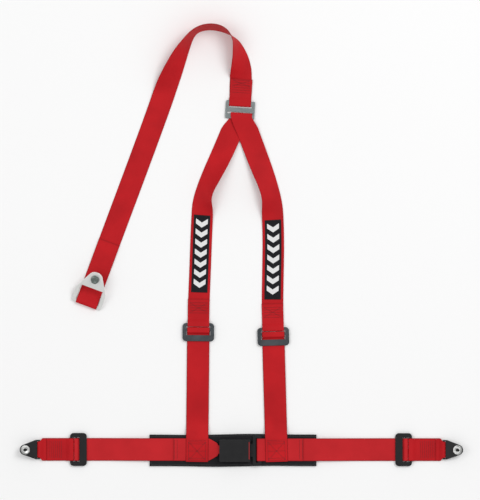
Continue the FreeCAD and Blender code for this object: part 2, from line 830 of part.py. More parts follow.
def anchor_bolt(name, frame, reach, length_alias, flats_alias):
    """Hex bolt with a dished head: a plain shoulder through the plate, then the threaded end."""
    body = new_body(name, frame.multiply(Placement(Vector(reach, 0, 0), Rotation())))
    seat = PLATE / 2 + size("washer_thickness") + 2 * GAP
    head = new_sketch(body, f"{name}_hex", "XY_Plane", seat)
    add_loop(head, hexagon(size(flats_alias)))
    pad(body, head, f"{name}_head", "Sizes.head_height")
    outer = size(flats_alias) / math.sqrt(3)
    bevel = new_sketch(body, f"{name}_bevel", "XZ_Plane")
    top = seat + size("head_height")
    add_loop(bevel, [(outer - 1.9, top + 1), (outer + 1, top + 1), (outer + 1, top - 1.2), (outer - 1.9, top)])
    groove(body, bevel, f"{name}_crown")
    dish = new_sketch(body, f"{name}_dish", "XZ_Plane")
    dish_radius = 0.36 * size(flats_alias)
    add_loop(dish, [(0, top + 1), (dish_radius, top + 1), (dish_radius, top), (0, top - 1.6)])
    groove(body, dish, f"{name}_recess")
    shank = new_sketch(body, f"{name}_section", "XY_Plane", seat)
    shank.addGeometry(Part.Circle(Vector(0, 0, 0), Vector(0, 0, 1), size("shank_radius")), False)
    stem = body.newObject("PartDesign::Pad", f"{name}_shank")
    stem.Profile = shank
    bind(stem, "Length", f"Sizes.{length_alias}")
    stem.Reversed = True
    doc.recompute()
    tip = seat - size(length_alias)
    local = body.Shape.copy().transformed(body.Placement.inverse().toMatrix())
    chamfer = body.newObject("PartDesign::Chamfer", f"{name}_point")
    chamfer.Base = (stem, flat_edges(local, tip))
    bind(chamfer, "Size", "Sizes.point_chamfer")
    doc.recompute()
    collar = new_sketch(body, f"{name}_collar", "XY_Plane", seat)
    collar.addGeometry(Part.Circle(Vector(0, 0, 0), Vector(0, 0, 1), size("shoulder_radius")), False)
    shoulder = body.newObject("PartDesign::Pad", f"{name}_shoulder")
    shoulder.Profile = collar
    shoulder.Length = SHOULDER_LENGTH
    shoulder.Reversed = True
    doc.recompute()
    relief = new_sketch(body, f"{name}_relief", "XZ_Plane")
    inner = size("relief_radius")
    low = seat - SHOULDER_LENGTH - size("relief_length")
    add_loop(
        relief,
        [(inner, low), (inner, seat - SHOULDER_LENGTH), (inner + 5, seat - SHOULDER_LENGTH), (inner + 5, low)],
    )
    groove(body, relief, f"{name}_undercut")
    return body


def groove(body, sketch, name):
    """Turns a section about the body's Z axis and cuts it away."""
    before = body.Shape.Volume
    item = body.newObject("PartDesign::Groove", name)
    item.Profile = sketch
    item.ReferenceAxis = (sketch, ["V_Axis"])
    item.Angle = 360.0
    doc.recompute()
    if body.Shape.Volume > before - 1e-6:
        raise ValueError(f"{name} cut nothing")
    return item


def ring(name, frame, reach, low, radius_alias, thickness_alias):
    """A flat ring round the bolt's shank."""
    outer = doc.addObject("Part::Cylinder", f"{name}_disc")
    bind(outer, "Radius", f"Sizes.{radius_alias}")
    bind(outer, "Height", f"Sizes.{thickness_alias}")
    inner = doc.addObject("Part::Cylinder", f"{name}_bore")
    bind(inner, "Radius", "Sizes.shoulder_radius + Sizes.shank_clearance")
    bind(inner, "Height", f"Sizes.{thickness_alias} * 3")
    inner.Placement = Placement(Vector(0, 0, -size(thickness_alias)), Rotation())
    cut = doc.addObject("Part::Cut", name)
    cut.Label = name
    cut.Base = outer
    cut.Tool = inner
    cut.Placement = frame.multiply(Placement(Vector(reach, 0, low), Rotation()))
    doc.recompute()
    return cut


def anchor_set(name, frame, prefix, side_length, length_alias, flats_alias):
    """Plate, bolt, washer under the head and retainer under the plate."""
    reach = size(f"{prefix}_reach")
    below = -PLATE / 2 - GAP - size("retainer_thickness")
    return [
        anchor_plate(f"{name}_anchor_plate", frame, prefix, side_length),
        anchor_bolt(f"{name}_anchor_bolt", frame, reach, length_alias, flats_alias),
        ring(f"{name}_bolt_washer", frame, reach, PLATE / 2 + GAP, "washer_radius", "washer_thickness"),
        ring(f"{name}_bolt_retainer", frame, reach, below, "retainer_radius", "retainer_thickness"),
    ]


def free_shank(length_alias):
    """How far the bolt's tip is below the plate's middle."""
    return size(length_alias) - PLATE / 2 - size("washer_thickness") - 2 * GAP


LAP_TILT = rest_tilt(ANCHOR_Z, size("anchor_reach"), free_shank("lap_bolt_length"), 0.0)
REAR_FLOOR = 2 * (WEB + GAP) + GAP
REAR_TILT = rest_tilt(REAR_Z, size("rear_reach"), free_shank("rear_bolt_length"), REAR_FLOOR)


def anchors():
    """The two lap anchors and the rear anchor, each leaning on its bolt."""
    left = Placement(Vector(LEFT_ANCHOR_X, LEFT_LAP["y"], 0), Rotation(Vector(0, 0, 1), 180))
    right = Placement(Vector(RIGHT_ANCHOR_X, RIGHT_LAP["y"], 0), Rotation())
    made = []
    for name, place in (("left", left), ("right", right)):
        frame = anchor_plane(place, ANCHOR_Z, LAP_TILT)
        made += anchor_set(name, frame, "anchor", 8.0, "lap_bolt_length", "lap_head_flats")
    frame = anchor_plane(rear_placement(), REAR_Z, REAR_TILT)
    made += anchor_set("rear", frame, "rear", 33.0, "rear_bolt_length", "rear_head_flats")
    return made


# ---------------------------------------------------------------- pad and labels


def lap_pad():
    """Fabric cover, closed all round, and the foam sheet inside it."""
    cover = new_body("lap_pad_cover")
    outline = new_sketch(cover, "pad_outline", "XY_Plane")
    half_x = size("pad_length") / 2
    half_y = size("pad_width") / 2
    add_edges(outline, rounded_rectangle(-half_x, half_x, -half_y, half_y, 3.0))
    pad(cover, outline, "pad_block", "Sizes.pad_height")
    skin = size("pad_skin")
    foam = new_body("lap_pad_foam")
    filling = new_sketch(foam, "foam_outline", "XY_Plane", skin)
    inner = (-half_x + skin, half_x - skin, -half_y + skin, half_y - skin, 2.2)
    add_edges(filling, rounded_rectangle(*inner))
    pad(foam, filling, "foam_block", "Sizes.pad_height - 2 * Sizes.pad_skin")
    hollow = doc.addObject("Part::Cut", "lap_pad_cover_shell")
    hollow.Base = cover
    hollow.Tool = foam
    doc.recompute()
    cover.Label = "lap_pad_block"
    hollow.Label = "lap_pad_cover"
    return [hollow, foam]


def shoulder_label(name, x, y, lean):
    """A woven label sewn on a shoulder strap."""
    item = doc.addObject("Part::Box", name)
    item.Label = name
    bind(item, "Length", "Sizes.label_width")
    bind(item, "Width", "Sizes.label_length")
    bind(item, "Height", "Sizes.label_thickness")
    turn = Rotation(Vector(0, 0, 1), lean)
    corner = Vector(-size("label_width") / 2, -size("label_length") / 2, 0)
    item.Placement = Placement(Vector(x, y, PLY_ONE + WEB / 2 + 2 * GAP) + turn.multVec(corner), turn)
    doc.recompute()
    return item


def labels():
    """One label on each shoulder strap."""
    return [
        shoulder_label("left_shoulder_label", -73.5, 447.0, -2.0),
        shoulder_label("right_shoulder_label", 91.4, 436.0, 0.1),
    ]


# ---------------------------------------------------------------- buckle


def box(name, low, high):
    """A plain block between two corners."""
    item = doc.addObject("Part::Box", name)
    item.Length = high[0] - low[0]
    item.Width = high[1] - low[1]
    item.Height = high[2] - low[2]
    item.Placement = Placement(Vector(*low), Rotation())
    return item


def cross_rod(name, x, z, radius_expression, half_length):
    """A round rod along Y."""
    item = doc.addObject("Part::Cylinder", name)
    bind(item, "Radius", radius_expression)
    item.Height = 2 * half_length
    item.Placement = Placement(Vector(x, half_length, z), Rotation(Vector(1, 0, 0), 90))
    return item


def cut_away(name, base, tools):
    """A base with tools cut from it."""
    item = doc.addObject("Part::Cut", name)
    item.Label = name
    item.Base = base
    item.Tool = tools[0] if len(tools) == 1 else fused(f"{name}_tools", tools)
    doc.recompute()
    return item


FRAME_HALF = size("frame_width") / 2
FRAME_SHEET = size("frame_sheet")
FRAME_LOW = PAD_TOP + GAP
FRAME_TOP = 19.0


def buckle_frame():
    """Folded steel channel: floor and two side walls with a lobe round each hinge-pin hole."""
    wall = new_body("frame_walls")
    side = new_sketch(wall, "frame_side", "XZ_Plane")
    lobe = 2.8
    add_edges(
        side,
        [
            Part.LineSegment(Vector(HINGE_X - lobe, FRAME_LOW, 0), Vector(FRAME_MOUTH, FRAME_LOW, 0)),
            Part.LineSegment(Vector(FRAME_MOUTH, FRAME_LOW, 0), Vector(FRAME_MOUTH, 16.0, 0)),
            Part.LineSegment(Vector(FRAME_MOUTH, 16.0, 0), Vector(FRAME_MOUTH - 3.0, FRAME_TOP, 0)),
            Part.LineSegment(Vector(FRAME_MOUTH - 3.0, FRAME_TOP, 0), Vector(HINGE_X + 2.35, FRAME_TOP, 0)),
            Part.Arc(
                Vector(HINGE_X + 2.35, FRAME_TOP, 0),
                Vector(HINGE_X - 1.0, HINGE_Z + 2.6, 0),
                Vector(HINGE_X - lobe, HINGE_Z, 0),
            ),
            Part.LineSegment(Vector(HINGE_X - lobe, HINGE_Z, 0), Vector(HINGE_X - lobe, FRAME_LOW, 0)),
        ],
    )
    pad(wall, side, "frame_block", "Sizes.frame_width", midplane=True)
    inside = FRAME_HALF - FRAME_SHEET
    floor_top = FRAME_LOW + FRAME_SHEET
    return cut_away(
        "buckle_frame",
        wall,
        [
            box("frame_channel", (-12.0, -inside, floor_top), (50.0, inside, 30.0)),
            box("frame_open_end", (-50.0, -inside, 0.0), (-11.0, inside, 30.0)),
            cross_rod("frame_web_hole", WEB_BAR_X, WEB_BAR_Z, "Sizes.web_bar_radius", 40.0),
            cross_rod("frame_pin_hole", HINGE_X, HINGE_Z, "Sizes.hinge_pin_radius", 40.0),
        ],
    )


def buckle_lid():
    """Lift lid: a top, two skirts outside the frame's walls, and a finger lip over the mouth."""
    body = new_body("lid_block")
    outline = new_sketch(body, "lid_outline", "XY_Plane", size("lid_bottom"))
    right = LID_LEFT + size("lid_length")
    half = size("lid_width") / 2
    add_edges(outline, rounded_rectangle(LID_LEFT, right, -half, half, 2.5))
    block = pad(body, outline, "lid_solid", "Sizes.lid_top - Sizes.lid_bottom")
    edges = flat_edges(body.Shape, size("lid_top"))
    top_round = body.newObject("PartDesign::Fillet", "lid_round")
    top_round.Base = (block, edges)
    top_round.Radius = 1.4
    doc.recompute()
    under = size("lid_top") - size("lid_skin")
    inner = FRAME_HALF + 0.6
    return cut_away(
        "buckle_lid",
        body,
        [
            box("lid_hollow", (LID_LEFT - 5, -inner, 0.0), (right - 1.8, inner, under)),
            cross_rod("lid_pin_hole", HINGE_X, HINGE_Z, "Sizes.hinge_pin_radius + 0.05", 40.0),
            box("lid_strip_seat", (right - 3.1, -20.0, under + 1.2), (right - 1.7, 20.0, 30.0)),
        ],
    )


def release_strip():
    """The coloured strip let into the lid above its finger lip."""
    right = LID_LEFT + size("lid_length")
    under = size("lid_top") - size("lid_skin")
    item = box("buckle_release_strip", (right - 3.05, -19.9, under + 1.25), (right - 1.75, 19.9, 22.9))
    item.Label = "buckle_release_strip"
    return item


def latch_plate():
    """Steel plate under the lid, with the tooth that holds the tongue."""
    body = new_body("buckle_latch_plate")
    side = new_sketch(body, "latch_side", "XZ_Plane")
    under = size("lid_top") - size("lid_skin") - GAP
    add_loop(
        side,
        [
            (HINGE_X + 5.0, under),
            (HINGE_X + 5.0, under - 1.6),
            (TOOTH_X, under - 1.6),
            (TOOTH_X, TONGUE_LOW + 0.5),
            (TOOTH_X + 1.5, TONGUE_LOW + 0.5),
            (TOOTH_X + 4.0, TONGUE_TOP + 1.0),
            (TOOTH_X + 4.0, under - 1.6),
            (TOOTH_X + 9.0, under - 1.6),
            (TOOTH_X + 9.0, under),
        ],
    )
    latch = body.newObject("PartDesign::Pad", "latch_solid")
    latch.Profile = side
    latch.SideType = "Symmetric"
    latch.Length = 13.0
    doc.recompute()
    return body


def lid_rivets():
    """Two rivets that hold the latch plate to the lid."""
    rivets = []
    under = size("lid_top") - size("lid_skin") - GAP - 1.6
    for index, x in enumerate((-10.0, 6.0)):
        head = doc.addObject("Part::Cylinder", f"rivet_{index}")
        head.Radius = 2.4
        head.Height = 0.9
        head.Placement = Placement(Vector(x, 0, under - 0.9 - 0.05), Rotation())
        rivets.append(head)
    group = doc.addObject("Part::Compound", "buckle_lid_rivets")
    group.Label = "buckle_lid_rivets"
    group.Links = rivets
    doc.recompute()
    return group


def web_bar():
    """The bar that the left lap strap is sewn round."""
    item = cross_rod("buckle_web_bar", WEB_BAR_X, WEB_BAR_Z, "Sizes.web_bar_radius - 0.02", FRAME_HALF)
    item.Label = "buckle_web_bar"
    return item


def hinge_pin():
    """The lid's hinge pin."""
    half = size("lid_width") / 2 - 0.1
    item = cross_rod("buckle_hinge_pin", HINGE_X, HINGE_Z, "Sizes.hinge_pin_radius - 0.02", half)
    item.Label = "buckle_hinge_pin"
    return item


def coil(name, radius, pitch, turns, placement):
    """A wire coil along its own Z axis."""
    path = Part.makeHelix(pitch, pitch * turns, radius)
    start = path.Edges[0].valueAt(path.Edges[0].FirstParameter)
    way = path.Edges[0].tangentAt(path.Edges[0].FirstParameter)
    section = Part.Wire(Part.makeCircle(size("spring_wire"), start, way))
    item = feature(name, Part.Wire(path.Edges).makePipeShell([section], True, True))
    item.Label = name
    item.Placement = placement
    return item


def buckle_springs():
    """Lid return spring round the hinge pin, and the ejector's push spring."""
    across = Rotation(Vector(1, 0, 0), 90)
    lid_spring = coil("buckle_lid_spring", 2.35, 1.3, 5, Placement(Vector(HINGE_X, 19.5, HINGE_Z), across))
    along = Rotation(Vector(0, 1, 0), 90)
    middle = (TONGUE_LOW + TONGUE_TOP) / 2
    push = coil("buckle_ejector_spring", 0.95, 1.4, 5, Placement(Vector(-9.2, 14.0, middle), along))
    return [lid_spring, push]


def ejector():
    """Sliding block that pushes the tongue out when the latch lifts."""
    item = box("buckle_ejector", (-1.0, -16.0, TONGUE_LOW), (TONGUE_NOSE - 0.3, 16.0, TONGUE_TOP))
    item.Label = "buckle_ejector"
    return item


def spring_post():
    """Folded tab on which the ejector spring bears."""
    item = box("buckle_spring_stop", (-10.9, 11.0, FRAME_LOW + FRAME_SHEET + GAP), (-9.9, 17.0, 12.0))
    item.Label = "buckle_spring_stop"
    return item


def tongue():
    """Tongue plate: blade with its latch hole, crossbar, and the slotted end for the webbing."""
    body = new_body("buckle_tongue")
    sketch = new_sketch(body, "tongue_outline", "XY_Plane", TONGUE_LOW)
    half = size("tongue_width") / 2
    blade = size("blade_width") / 2
    nose = 5.0
    add_loop(
        sketch,
        [
            (TONGUE_NOSE, -blade + nose),
            (TONGUE_NOSE + nose, -blade),
            (TONGUE_CROSSBAR, -blade),
            (TONGUE_CROSSBAR + 1.0, -half + 3.0),
            (TONGUE_CROSSBAR + 4.0, -half),
            (TONGUE_END - 4.0, -half),
            (TONGUE_END, -half + 4.0),
            (TONGUE_END, half - 4.0),
            (TONGUE_END - 4.0, half),
            (TONGUE_CROSSBAR + 4.0, half),
            (TONGUE_CROSSBAR + 1.0, half - 3.0),
            (TONGUE_CROSSBAR, blade),
            (TONGUE_NOSE + nose, blade),
            (TONGUE_NOSE, blade - nose),
        ],
    )
    plate = pad(body, sketch, "tongue_plate", "Sizes.plate_thickness")
    round_edges(body, plate, "tongue_round", "edge_round", flat_edges(body.Shape, TONGUE_TOP))
    cuts = new_sketch(body, "tongue_holes", "XY_Plane", TONGUE_LOW)
    inner = HALF_WEB + 3.0
    add_edges(cuts, rounded_rectangle(TONGUE_SLOT[0], TONGUE_SLOT[1], -inner, inner, 1.5))
    add_edges(cuts, rounded_rectangle(TOOTH_X - 1.4, TOOTH_X + 6.5, -7.5, 7.5, 1.0))
    pocket(body, cuts, "tongue_cut", 4 * PLATE)
    return body


def buckle():
    """All the buckle's pieces."""
    return [
        buckle_frame(),
        buckle_lid(),
        release_strip(),
        latch_plate(),
        lid_rivets(),
        web_bar(),
        hinge_pin(),
        *buckle_springs(),
        ejector(),
        spring_post(),
        tongue(),
    ]


# ---------------------------------------------------------------- build and export


def check(parts):
    """Stops if any object failed to compute, or a sub-part is empty or broken."""
    for item in doc.Objects:
        if "Invalid" in item.State or "Error" in item.State:
            raise RuntimeError(f"{item.Label} failed: {item.State}")
    for item in parts:
        shape = item.Shape
        if shape.isNull() or not shape.isValid() or not shape.Solids:
            raise RuntimeError(f"{item.Label} has no valid solid")


def main():
    parts = [
        left_lap_strap(),
        right_lap_strap(),
        end_strap("left_end_strap", LEFT_LAP, LEFT_LAP["x"] - LEFT_ANCHOR_X),
        end_strap("right_end_strap", RIGHT_LAP, RIGHT_ANCHOR_X - RIGHT_LAP["x"]),
        chest_strap("left_chest_strap", LEFT_SHOULDER, LEFT_SHOULDER["y"] + HALF_WEB + 1),
        chest_strap("right_chest_strap", RIGHT_SHOULDER, RIGHT_SHOULDER["y"] + HALF_WEB + 1),
        shoulder_strap(),
        rear_strap(),
        *shoulder_and_lap_adjusters(),
        y_slide(),
        *anchors(),
        *lap_pad(),
        *labels(),
        *buckle(),
    ]
    doc.recompute()
    check(parts)
    os.makedirs("parts", exist_ok=True)
    for item in parts:
        item.Shape.exportStep(f"parts/{item.Label}.step")
    print(f"{len(parts)} sub-parts; lap anchors lean {LAP_TILT:.3f}, rear anchor {REAR_TILT:.3f} degrees")
    print(f"hinge heights: lap {ANCHOR_Z:.3f}, rear {REAR_Z:.3f}, adjusters {HARDWARE_LOW + PLATE / 2:.3f}")
    print(f"shoulder {SHOULDER_LENGTH:.3f}, seat {PLATE / 2 + size('washer_thickness') + 2 * GAP:.3f}")


main()
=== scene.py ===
import math

import bmesh
import bpy
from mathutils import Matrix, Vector, noise


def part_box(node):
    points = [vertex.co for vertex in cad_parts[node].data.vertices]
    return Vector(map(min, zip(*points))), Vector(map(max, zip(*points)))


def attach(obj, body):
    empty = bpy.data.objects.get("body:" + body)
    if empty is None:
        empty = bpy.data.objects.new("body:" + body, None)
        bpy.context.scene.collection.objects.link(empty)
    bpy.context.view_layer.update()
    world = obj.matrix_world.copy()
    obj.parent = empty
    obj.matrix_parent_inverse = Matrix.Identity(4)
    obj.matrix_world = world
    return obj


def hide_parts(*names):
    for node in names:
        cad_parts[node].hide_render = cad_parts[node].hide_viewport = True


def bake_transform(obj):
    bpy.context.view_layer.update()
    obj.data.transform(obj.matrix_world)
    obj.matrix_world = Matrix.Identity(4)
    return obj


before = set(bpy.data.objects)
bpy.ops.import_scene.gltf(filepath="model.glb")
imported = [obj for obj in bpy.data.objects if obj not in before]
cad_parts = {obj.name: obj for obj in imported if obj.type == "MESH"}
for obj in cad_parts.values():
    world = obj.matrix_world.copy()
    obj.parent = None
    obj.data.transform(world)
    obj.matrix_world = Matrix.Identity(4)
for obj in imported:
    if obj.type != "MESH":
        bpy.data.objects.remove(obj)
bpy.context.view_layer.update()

# Racing harness laid flat. Paths are in millimetres in the row's frame and become metres in the
# meshes. Every strap is a woven ribbon, in one to three pieces, on or close to its CAD solid's route.

MM = 0.001
WIDTH = 50.0
WEB = 1.5
GAP = 0.1

# Half widths as drawn, which follow the photo a little off the flat width.
LAP_HALF = 25.8
CHEST_HALF = 25.5
LEG_HALF = 24.6

# ---- levels, as in the CAD

PLY_ONE = GAP + WEB / 2
PLY_TWO = PLY_ONE + WEB + GAP
HARDWARE_LOW = 2 * (WEB + GAP) + 2 * GAP
PLATE = 3.0
OVER_HARDWARE = HARDWARE_LOW + PLATE + GAP + WEB / 2
SLIDE_LOW = WEB + 3 * GAP
OVER_SLIDE = SLIDE_LOW + PLATE + GAP + WEB / 2
PAD_TOP = 6.0
LAP_ONE = PAD_TOP + 2 * GAP + WEB / 2
LAP_TWO = LAP_ONE + WEB + GAP
CHEST_OVER_LAP = LAP_TWO + WEB + GAP

# Bar, slot, bar, slot, bar: their lengths along each slide.
LAP_BARS = (6.0, 6.2, 3.3, 6.0, 16.5)
SHOULDER_BARS = (6.0, 6.5, 5.0, 10.0, 14.0)
SLIDE_BARS = (10.0, 5.5, 9.5, 4.5, 11.5)


class Place:
    """A point on the ground and the way that a piece's own +X points there."""

    def __init__(self, x, y, turn):
        self.origin = Vector((x, y, 0.0))
        angle = math.radians(turn)
        self.along = Vector((math.cos(angle), math.sin(angle), 0.0))
        self.across = Vector((-math.sin(angle), math.cos(angle), 0.0))

    def point(self, a, b, z):
        return self.origin + self.along * a + self.across * b + Vector((0.0, 0.0, z))

    def shifted(self, a, b):
        moved = Place(0.0, 0.0, 0.0)
        moved.origin = self.point(a, b, 0.0)
        moved.along = self.along
        moved.across = self.across
        return moved


LEFT_LAP = Place(-371.2, 2.0, 0.0)
RIGHT_LAP = Place(407.9, 1.5, 180.0)
LEFT_SHOULDER = Place(-78.7, 290.0, -90.6)
RIGHT_SHOULDER = Place(91.3, 280.0, -88.4)
SLIDE = Place(16.3, 775.6, -93.8).shifted(-sum(SLIDE_BARS) / 2, 0.0)
REAR = Place(-333.5, 334.4, 69.7)
END_TAIL = 53.5
LEFT_ANCHOR_X = -441.6
RIGHT_ANCHOR_X = 480.0
ANCHOR_CAVITY = math.hypot(2.5, PLATE / 2) + 0.2
REAR_CAVITY = math.hypot(3.5, PLATE / 2) + 0.3
LAP_LEAN = 20.67
WEB_BAR_X = -22.0
WEB_BAR_MIDDLE = 3.2 + GAP + WEB / 2
TONGUE_BAR_X = 57.0

# Lengths of the doubled tails, and the chest straps' reach from their adjusters.
LAP_TAIL = 95.0
CHEST_TAIL = 110.0
LEG_TAIL = 55.0
RIGHT_LEG_TAIL = 54.5
REAR_TAIL = 150.0
LEFT_CHEST_FOOT = 316.0
RIGHT_CHEST_FOOT = 306.0

# Where straps are split into pieces.
LEFT_SPLIT_Y = 351.0
RIGHT_SPLIT_Y = 340.0
REAR_SPLIT_Y = 852.0
RIGHT_CHEST_SPLIT = 150.0

# Spans along a strap and a point behind a sewn loop: distances from its adjuster, which become points in
# metres.
LAP_FLEX = (34.0, 120.0)
CHEST_FLEX = (40.0, 130.0)
FOOT_FLEX = (155.0, 255.0)
LOOP_END = -6.0

# ---- stations along a ribbon


class Station:
    """One cross-section of a ribbon: its middle, the way across it and half its width."""

    def __init__(self, middle, across, half=WIDTH / 2):
        self.middle = middle
        self.across = across
        self.half = half


ARC_STEP = 9
SHORTEST_RUN = 0.05


def rotated(arm, angle):
    """A flat vector turned anticlockwise."""
    cos, sin = math.cos(angle), math.sin(angle)
    return Vector((arm.x * cos - arm.y * sin, arm.x * sin + arm.y * cos))


def bend_path(vertices, step):
    """Points (along, up) on straight runs joined by tangent arcs of the radius each vertex has."""
    corners = [Vector((a, b)) for a, b, _ in vertices]
    path = [corners[0]]
    for index in range(1, len(corners)):
        run = (corners[index] - corners[index - 1]).normalized()
        end = corners[index]
        arc = []
        if index < len(corners) - 1:
            after = (corners[index + 1] - corners[index]).normalized()
            turn = math.acos(max(-1.0, min(1.0, run.dot(after))))
            radius = vertices[index][2]
            end = corners[index] - run * radius * math.tan(turn / 2)
            side = 1 if run.x * after.y - run.y * after.x > 0 else -1
            centre = end + Vector((-run.y, run.x)) * side * radius
            count = max(2, math.ceil(math.degrees(turn) / ARC_STEP))
            arc = [centre + rotated(end - centre, side * turn * k / count) for k in range(1, count + 1)]
        start = path[-1]
        length = (end - start).length
        pieces = max(1, math.ceil(length / step))
        if length > SHORTEST_RUN:
            path += [start.lerp(end, k / pieces) for k in range(1, pieces + 1)]
        path += arc
    return path


def side_stations(place, vertices, step=5.0, half=None, flip=False):
    """Stations of a strap that keeps to one vertical plane."""
    across = -place.across if flip else place.across
    found = []
    for a, z in bend_path(vertices, step):
        width = half(a) if half else WIDTH / 2
        found.append(Station(place.point(a, 0.0, z), across, width))
    return found


def smooth(rows, steps):
    """Points on a Catmull-Rom curve through the rows, whatever number of values each has."""
    found = []
    last = len(rows) - 1
    for index in range(last):
        around = [rows[max(index - 1, 0)], rows[index], rows[index + 1], rows[min(index + 2, last)]]
        for step in range(steps):
            t = step / steps
            found.append(
                [
                    0.5 * (2 * b + (c - a) * t + (2 * a - 5 * b + 4 * c - d) * t * t
                           + (3 * b - a - 3 * c + d) * t ** 3)
                    for a, b, c, d in zip(*around)
                ]
            )
    found.append(list(rows[last]))
    return found


EDGE_STEPS = 10


def edge_stations(path, side):
    """Stations from one edge's path (x, y, z, roll): the ply is rolled up about that edge."""
    points = smooth(path, EDGE_STEPS)
    found = []
    for index, (x, y, z, roll) in enumerate(points):
        before = points[max(index - 1, 0)]
        after = points[min(index + 1, len(points) - 1)]
        along = Vector(after[:3]) - Vector(before[:3])
        flat = Vector((-along.y, along.x, 0.0)).normalized() * side
        angle = math.radians(min(max(roll, 0.0), 180.0))
        across = flat * math.cos(angle) + Vector((0.0, 0.0, math.sin(angle)))
        found.append(Station(Vector((x, y, z)) + across * WIDTH / 2, across))
    return found


def soften(stations, first, last, passes=12):
    """Evens out the join between two stretches of a ribbon."""
    for _ in range(passes):
        middles = [s.middle.copy() for s in stations]
        ways = [s.across.copy() for s in stations]
        for k in range(max(first, 1), min(last, len(stations) - 1)):
            stations[k].middle = (middles[k - 1] + middles[k] * 2 + middles[k + 1]) / 4
            stations[k].across = (ways[k - 1] + ways[k] * 2 + ways[k + 1]).normalized()


def joined(*stretches):
    """One ribbon from several stretches, evened out where they meet."""
    whole = list(stretches[0])
    for stretch in stretches[1:]:
        seam = len(whole)
        whole += stretch
        soften(whole, seam - 4, seam + 4)
    return whole


class Ribbon:
    """A ribbon's stations with the distance along it and the normal at each."""

    def __init__(self, stations, start=0.0):
        self.stations = stations
        self.start = start
        self.reach = [0.0]
        for before, after in zip(stations, stations[1:]):
            self.reach.append(self.reach[-1] + (after.middle - before.middle).length)
        self.normals = []
        last = len(stations) - 1
        for index, station in enumerate(stations):
            ahead = stations[min(index + 1, last)].middle - stations[max(index - 1, 0)].middle
            self.normals.append(ahead.cross(station.across).normalized())

    def length(self):
        return self.reach[-1]

    def at(self, v, u, lift=0.0):
        """The point v along the ribbon and u across it, lifted off its middle plane."""
        k = 1
        while k < len(self.reach) - 1 and self.reach[k] < v:
            k += 1
        span = max(self.reach[k] - self.reach[k - 1], 1e-6)
        t = (v - self.reach[k - 1]) / span
        one, two = self.stations[k - 1], self.stations[k]
        middle = one.middle.lerp(two.middle, t)
        across = one.across.lerp(two.across, t).normalized()
        normal = self.normals[k - 1].lerp(self.normals[k], t).normalized()
        return middle + across * u + normal * lift, normal

    def face_up(self, v):
        """1 if the ribbon's own normal points up at v, otherwise -1."""
        return 1.0 if self.at(v, 0.0)[1].z >= 0 else -1.0

    def on_top(self, v, u, lift=0.0):
        """A point this far above the side of the ribbon that faces up, and the way up there."""
        side = self.face_up(v)
        point, normal = self.at(v, u, side * (WEB / 2 + lift))
        return point, normal * side

    def nearest(self, point):
        """How far along the ribbon's middle line the point closest to this one is."""
        best = min(range(len(self.stations)), key=lambda k: (self.stations[k].middle - point).length)
        return self.reach[best]


# ---- meshes

EDGE_ROUND = 0.03
COLUMNS = [-1.0, -0.993, -0.97, -0.9, -0.6, -0.2, 0.2, 0.6, 0.9, 0.97, 0.993, 1.0]


def section():
    """Cross-section of the webbing as (across, thickness) shares, with round selvedges."""
    top = []
    for u in COLUMNS:
        over = max(0.0, (abs(u) - (1 - EDGE_ROUND)) / EDGE_ROUND)
        top.append((u, math.sqrt(max(0.0, 1 - over * over))))
    return top + [(u, -lift) for u, lift in reversed(top[1:-1])]


def new_object(name, verts, faces, material, smooth_faces=True):
    """A mesh object in the scene, from points in millimetres."""
    mesh = bpy.data.meshes.new(name)
    mesh.from_pydata([v * MM for v in verts], [], faces)
    mesh.validate()
    if smooth_faces:
        mesh.polygons.foreach_set("use_smooth", [True] * len(mesh.polygons))
    obj = bpy.data.objects.new(name, mesh)
    bpy.context.scene.collection.objects.link(obj)
    mesh.materials.append(material)
    return obj


def tube_faces(ring, rings):
    """Quads between matching rings of points, then a cap at each end."""
    count = len(ring)
    faces = []
    for k in range(rings - 1):
        for a, b in zip(ring, ring[1:] + ring[:1]):
            faces.append((k * count + a, k * count + b, (k + 1) * count + b, (k + 1) * count + a))
    faces.append(tuple(ring[::-1]))
    faces.append(tuple((rings - 1) * count + j for j in ring))
    return faces


CUT_EDGE = 1.3


def ribbon_object(name, ribbon, material, cut=(True, True)):
    """The ribbon's mesh, with its UV in metres: across, then along. Cut ends are heat-sealed."""
    shape = section()
    verts, marks = [], []
    for station, normal, v in zip(ribbon.stations, ribbon.normals, ribbon.reach):
        for share, lift in shape:
            point = station.middle + station.across * share * station.half
            verts.append(point + normal * lift * WEB / 2)
            marks.append((share * station.half, v))
    faces = tube_faces(list(range(len(shape))), len(ribbon.stations))
    obj = new_object(name, verts, faces, material)
    for cap in (len(faces) - 2, len(faces) - 1):
        obj.data.polygons[cap].use_smooth = False
    layer = obj.data.uv_layers.new(name="weave")
    for loop in obj.data.loops:
        u, v = marks[loop.vertex_index]
        layer.data[loop.index].uv = (u * MM, (v + ribbon.start) * MM)
    burn = obj.data.attributes.new("sealed", "FLOAT", "POINT")
    first = CUT_EDGE if cut[0] else -1.0
    last = ribbon.length() - (CUT_EDGE if cut[1] else -1.0)
    burn.data.foreach_set("value", [1.0 if v < first or v > last else 0.0 for _, v in marks])
    return obj


STITCH = 3.0
THREAD = 0.5
# One stitch's rings: share of its length, share of the thread's radius, and height over the cloth.
STITCH_RINGS = ((0, 0.35, -0.2), (0.25, 0.9, 0.1), (0.75, 0.9, 0.1), (1, 0.35, -0.2))


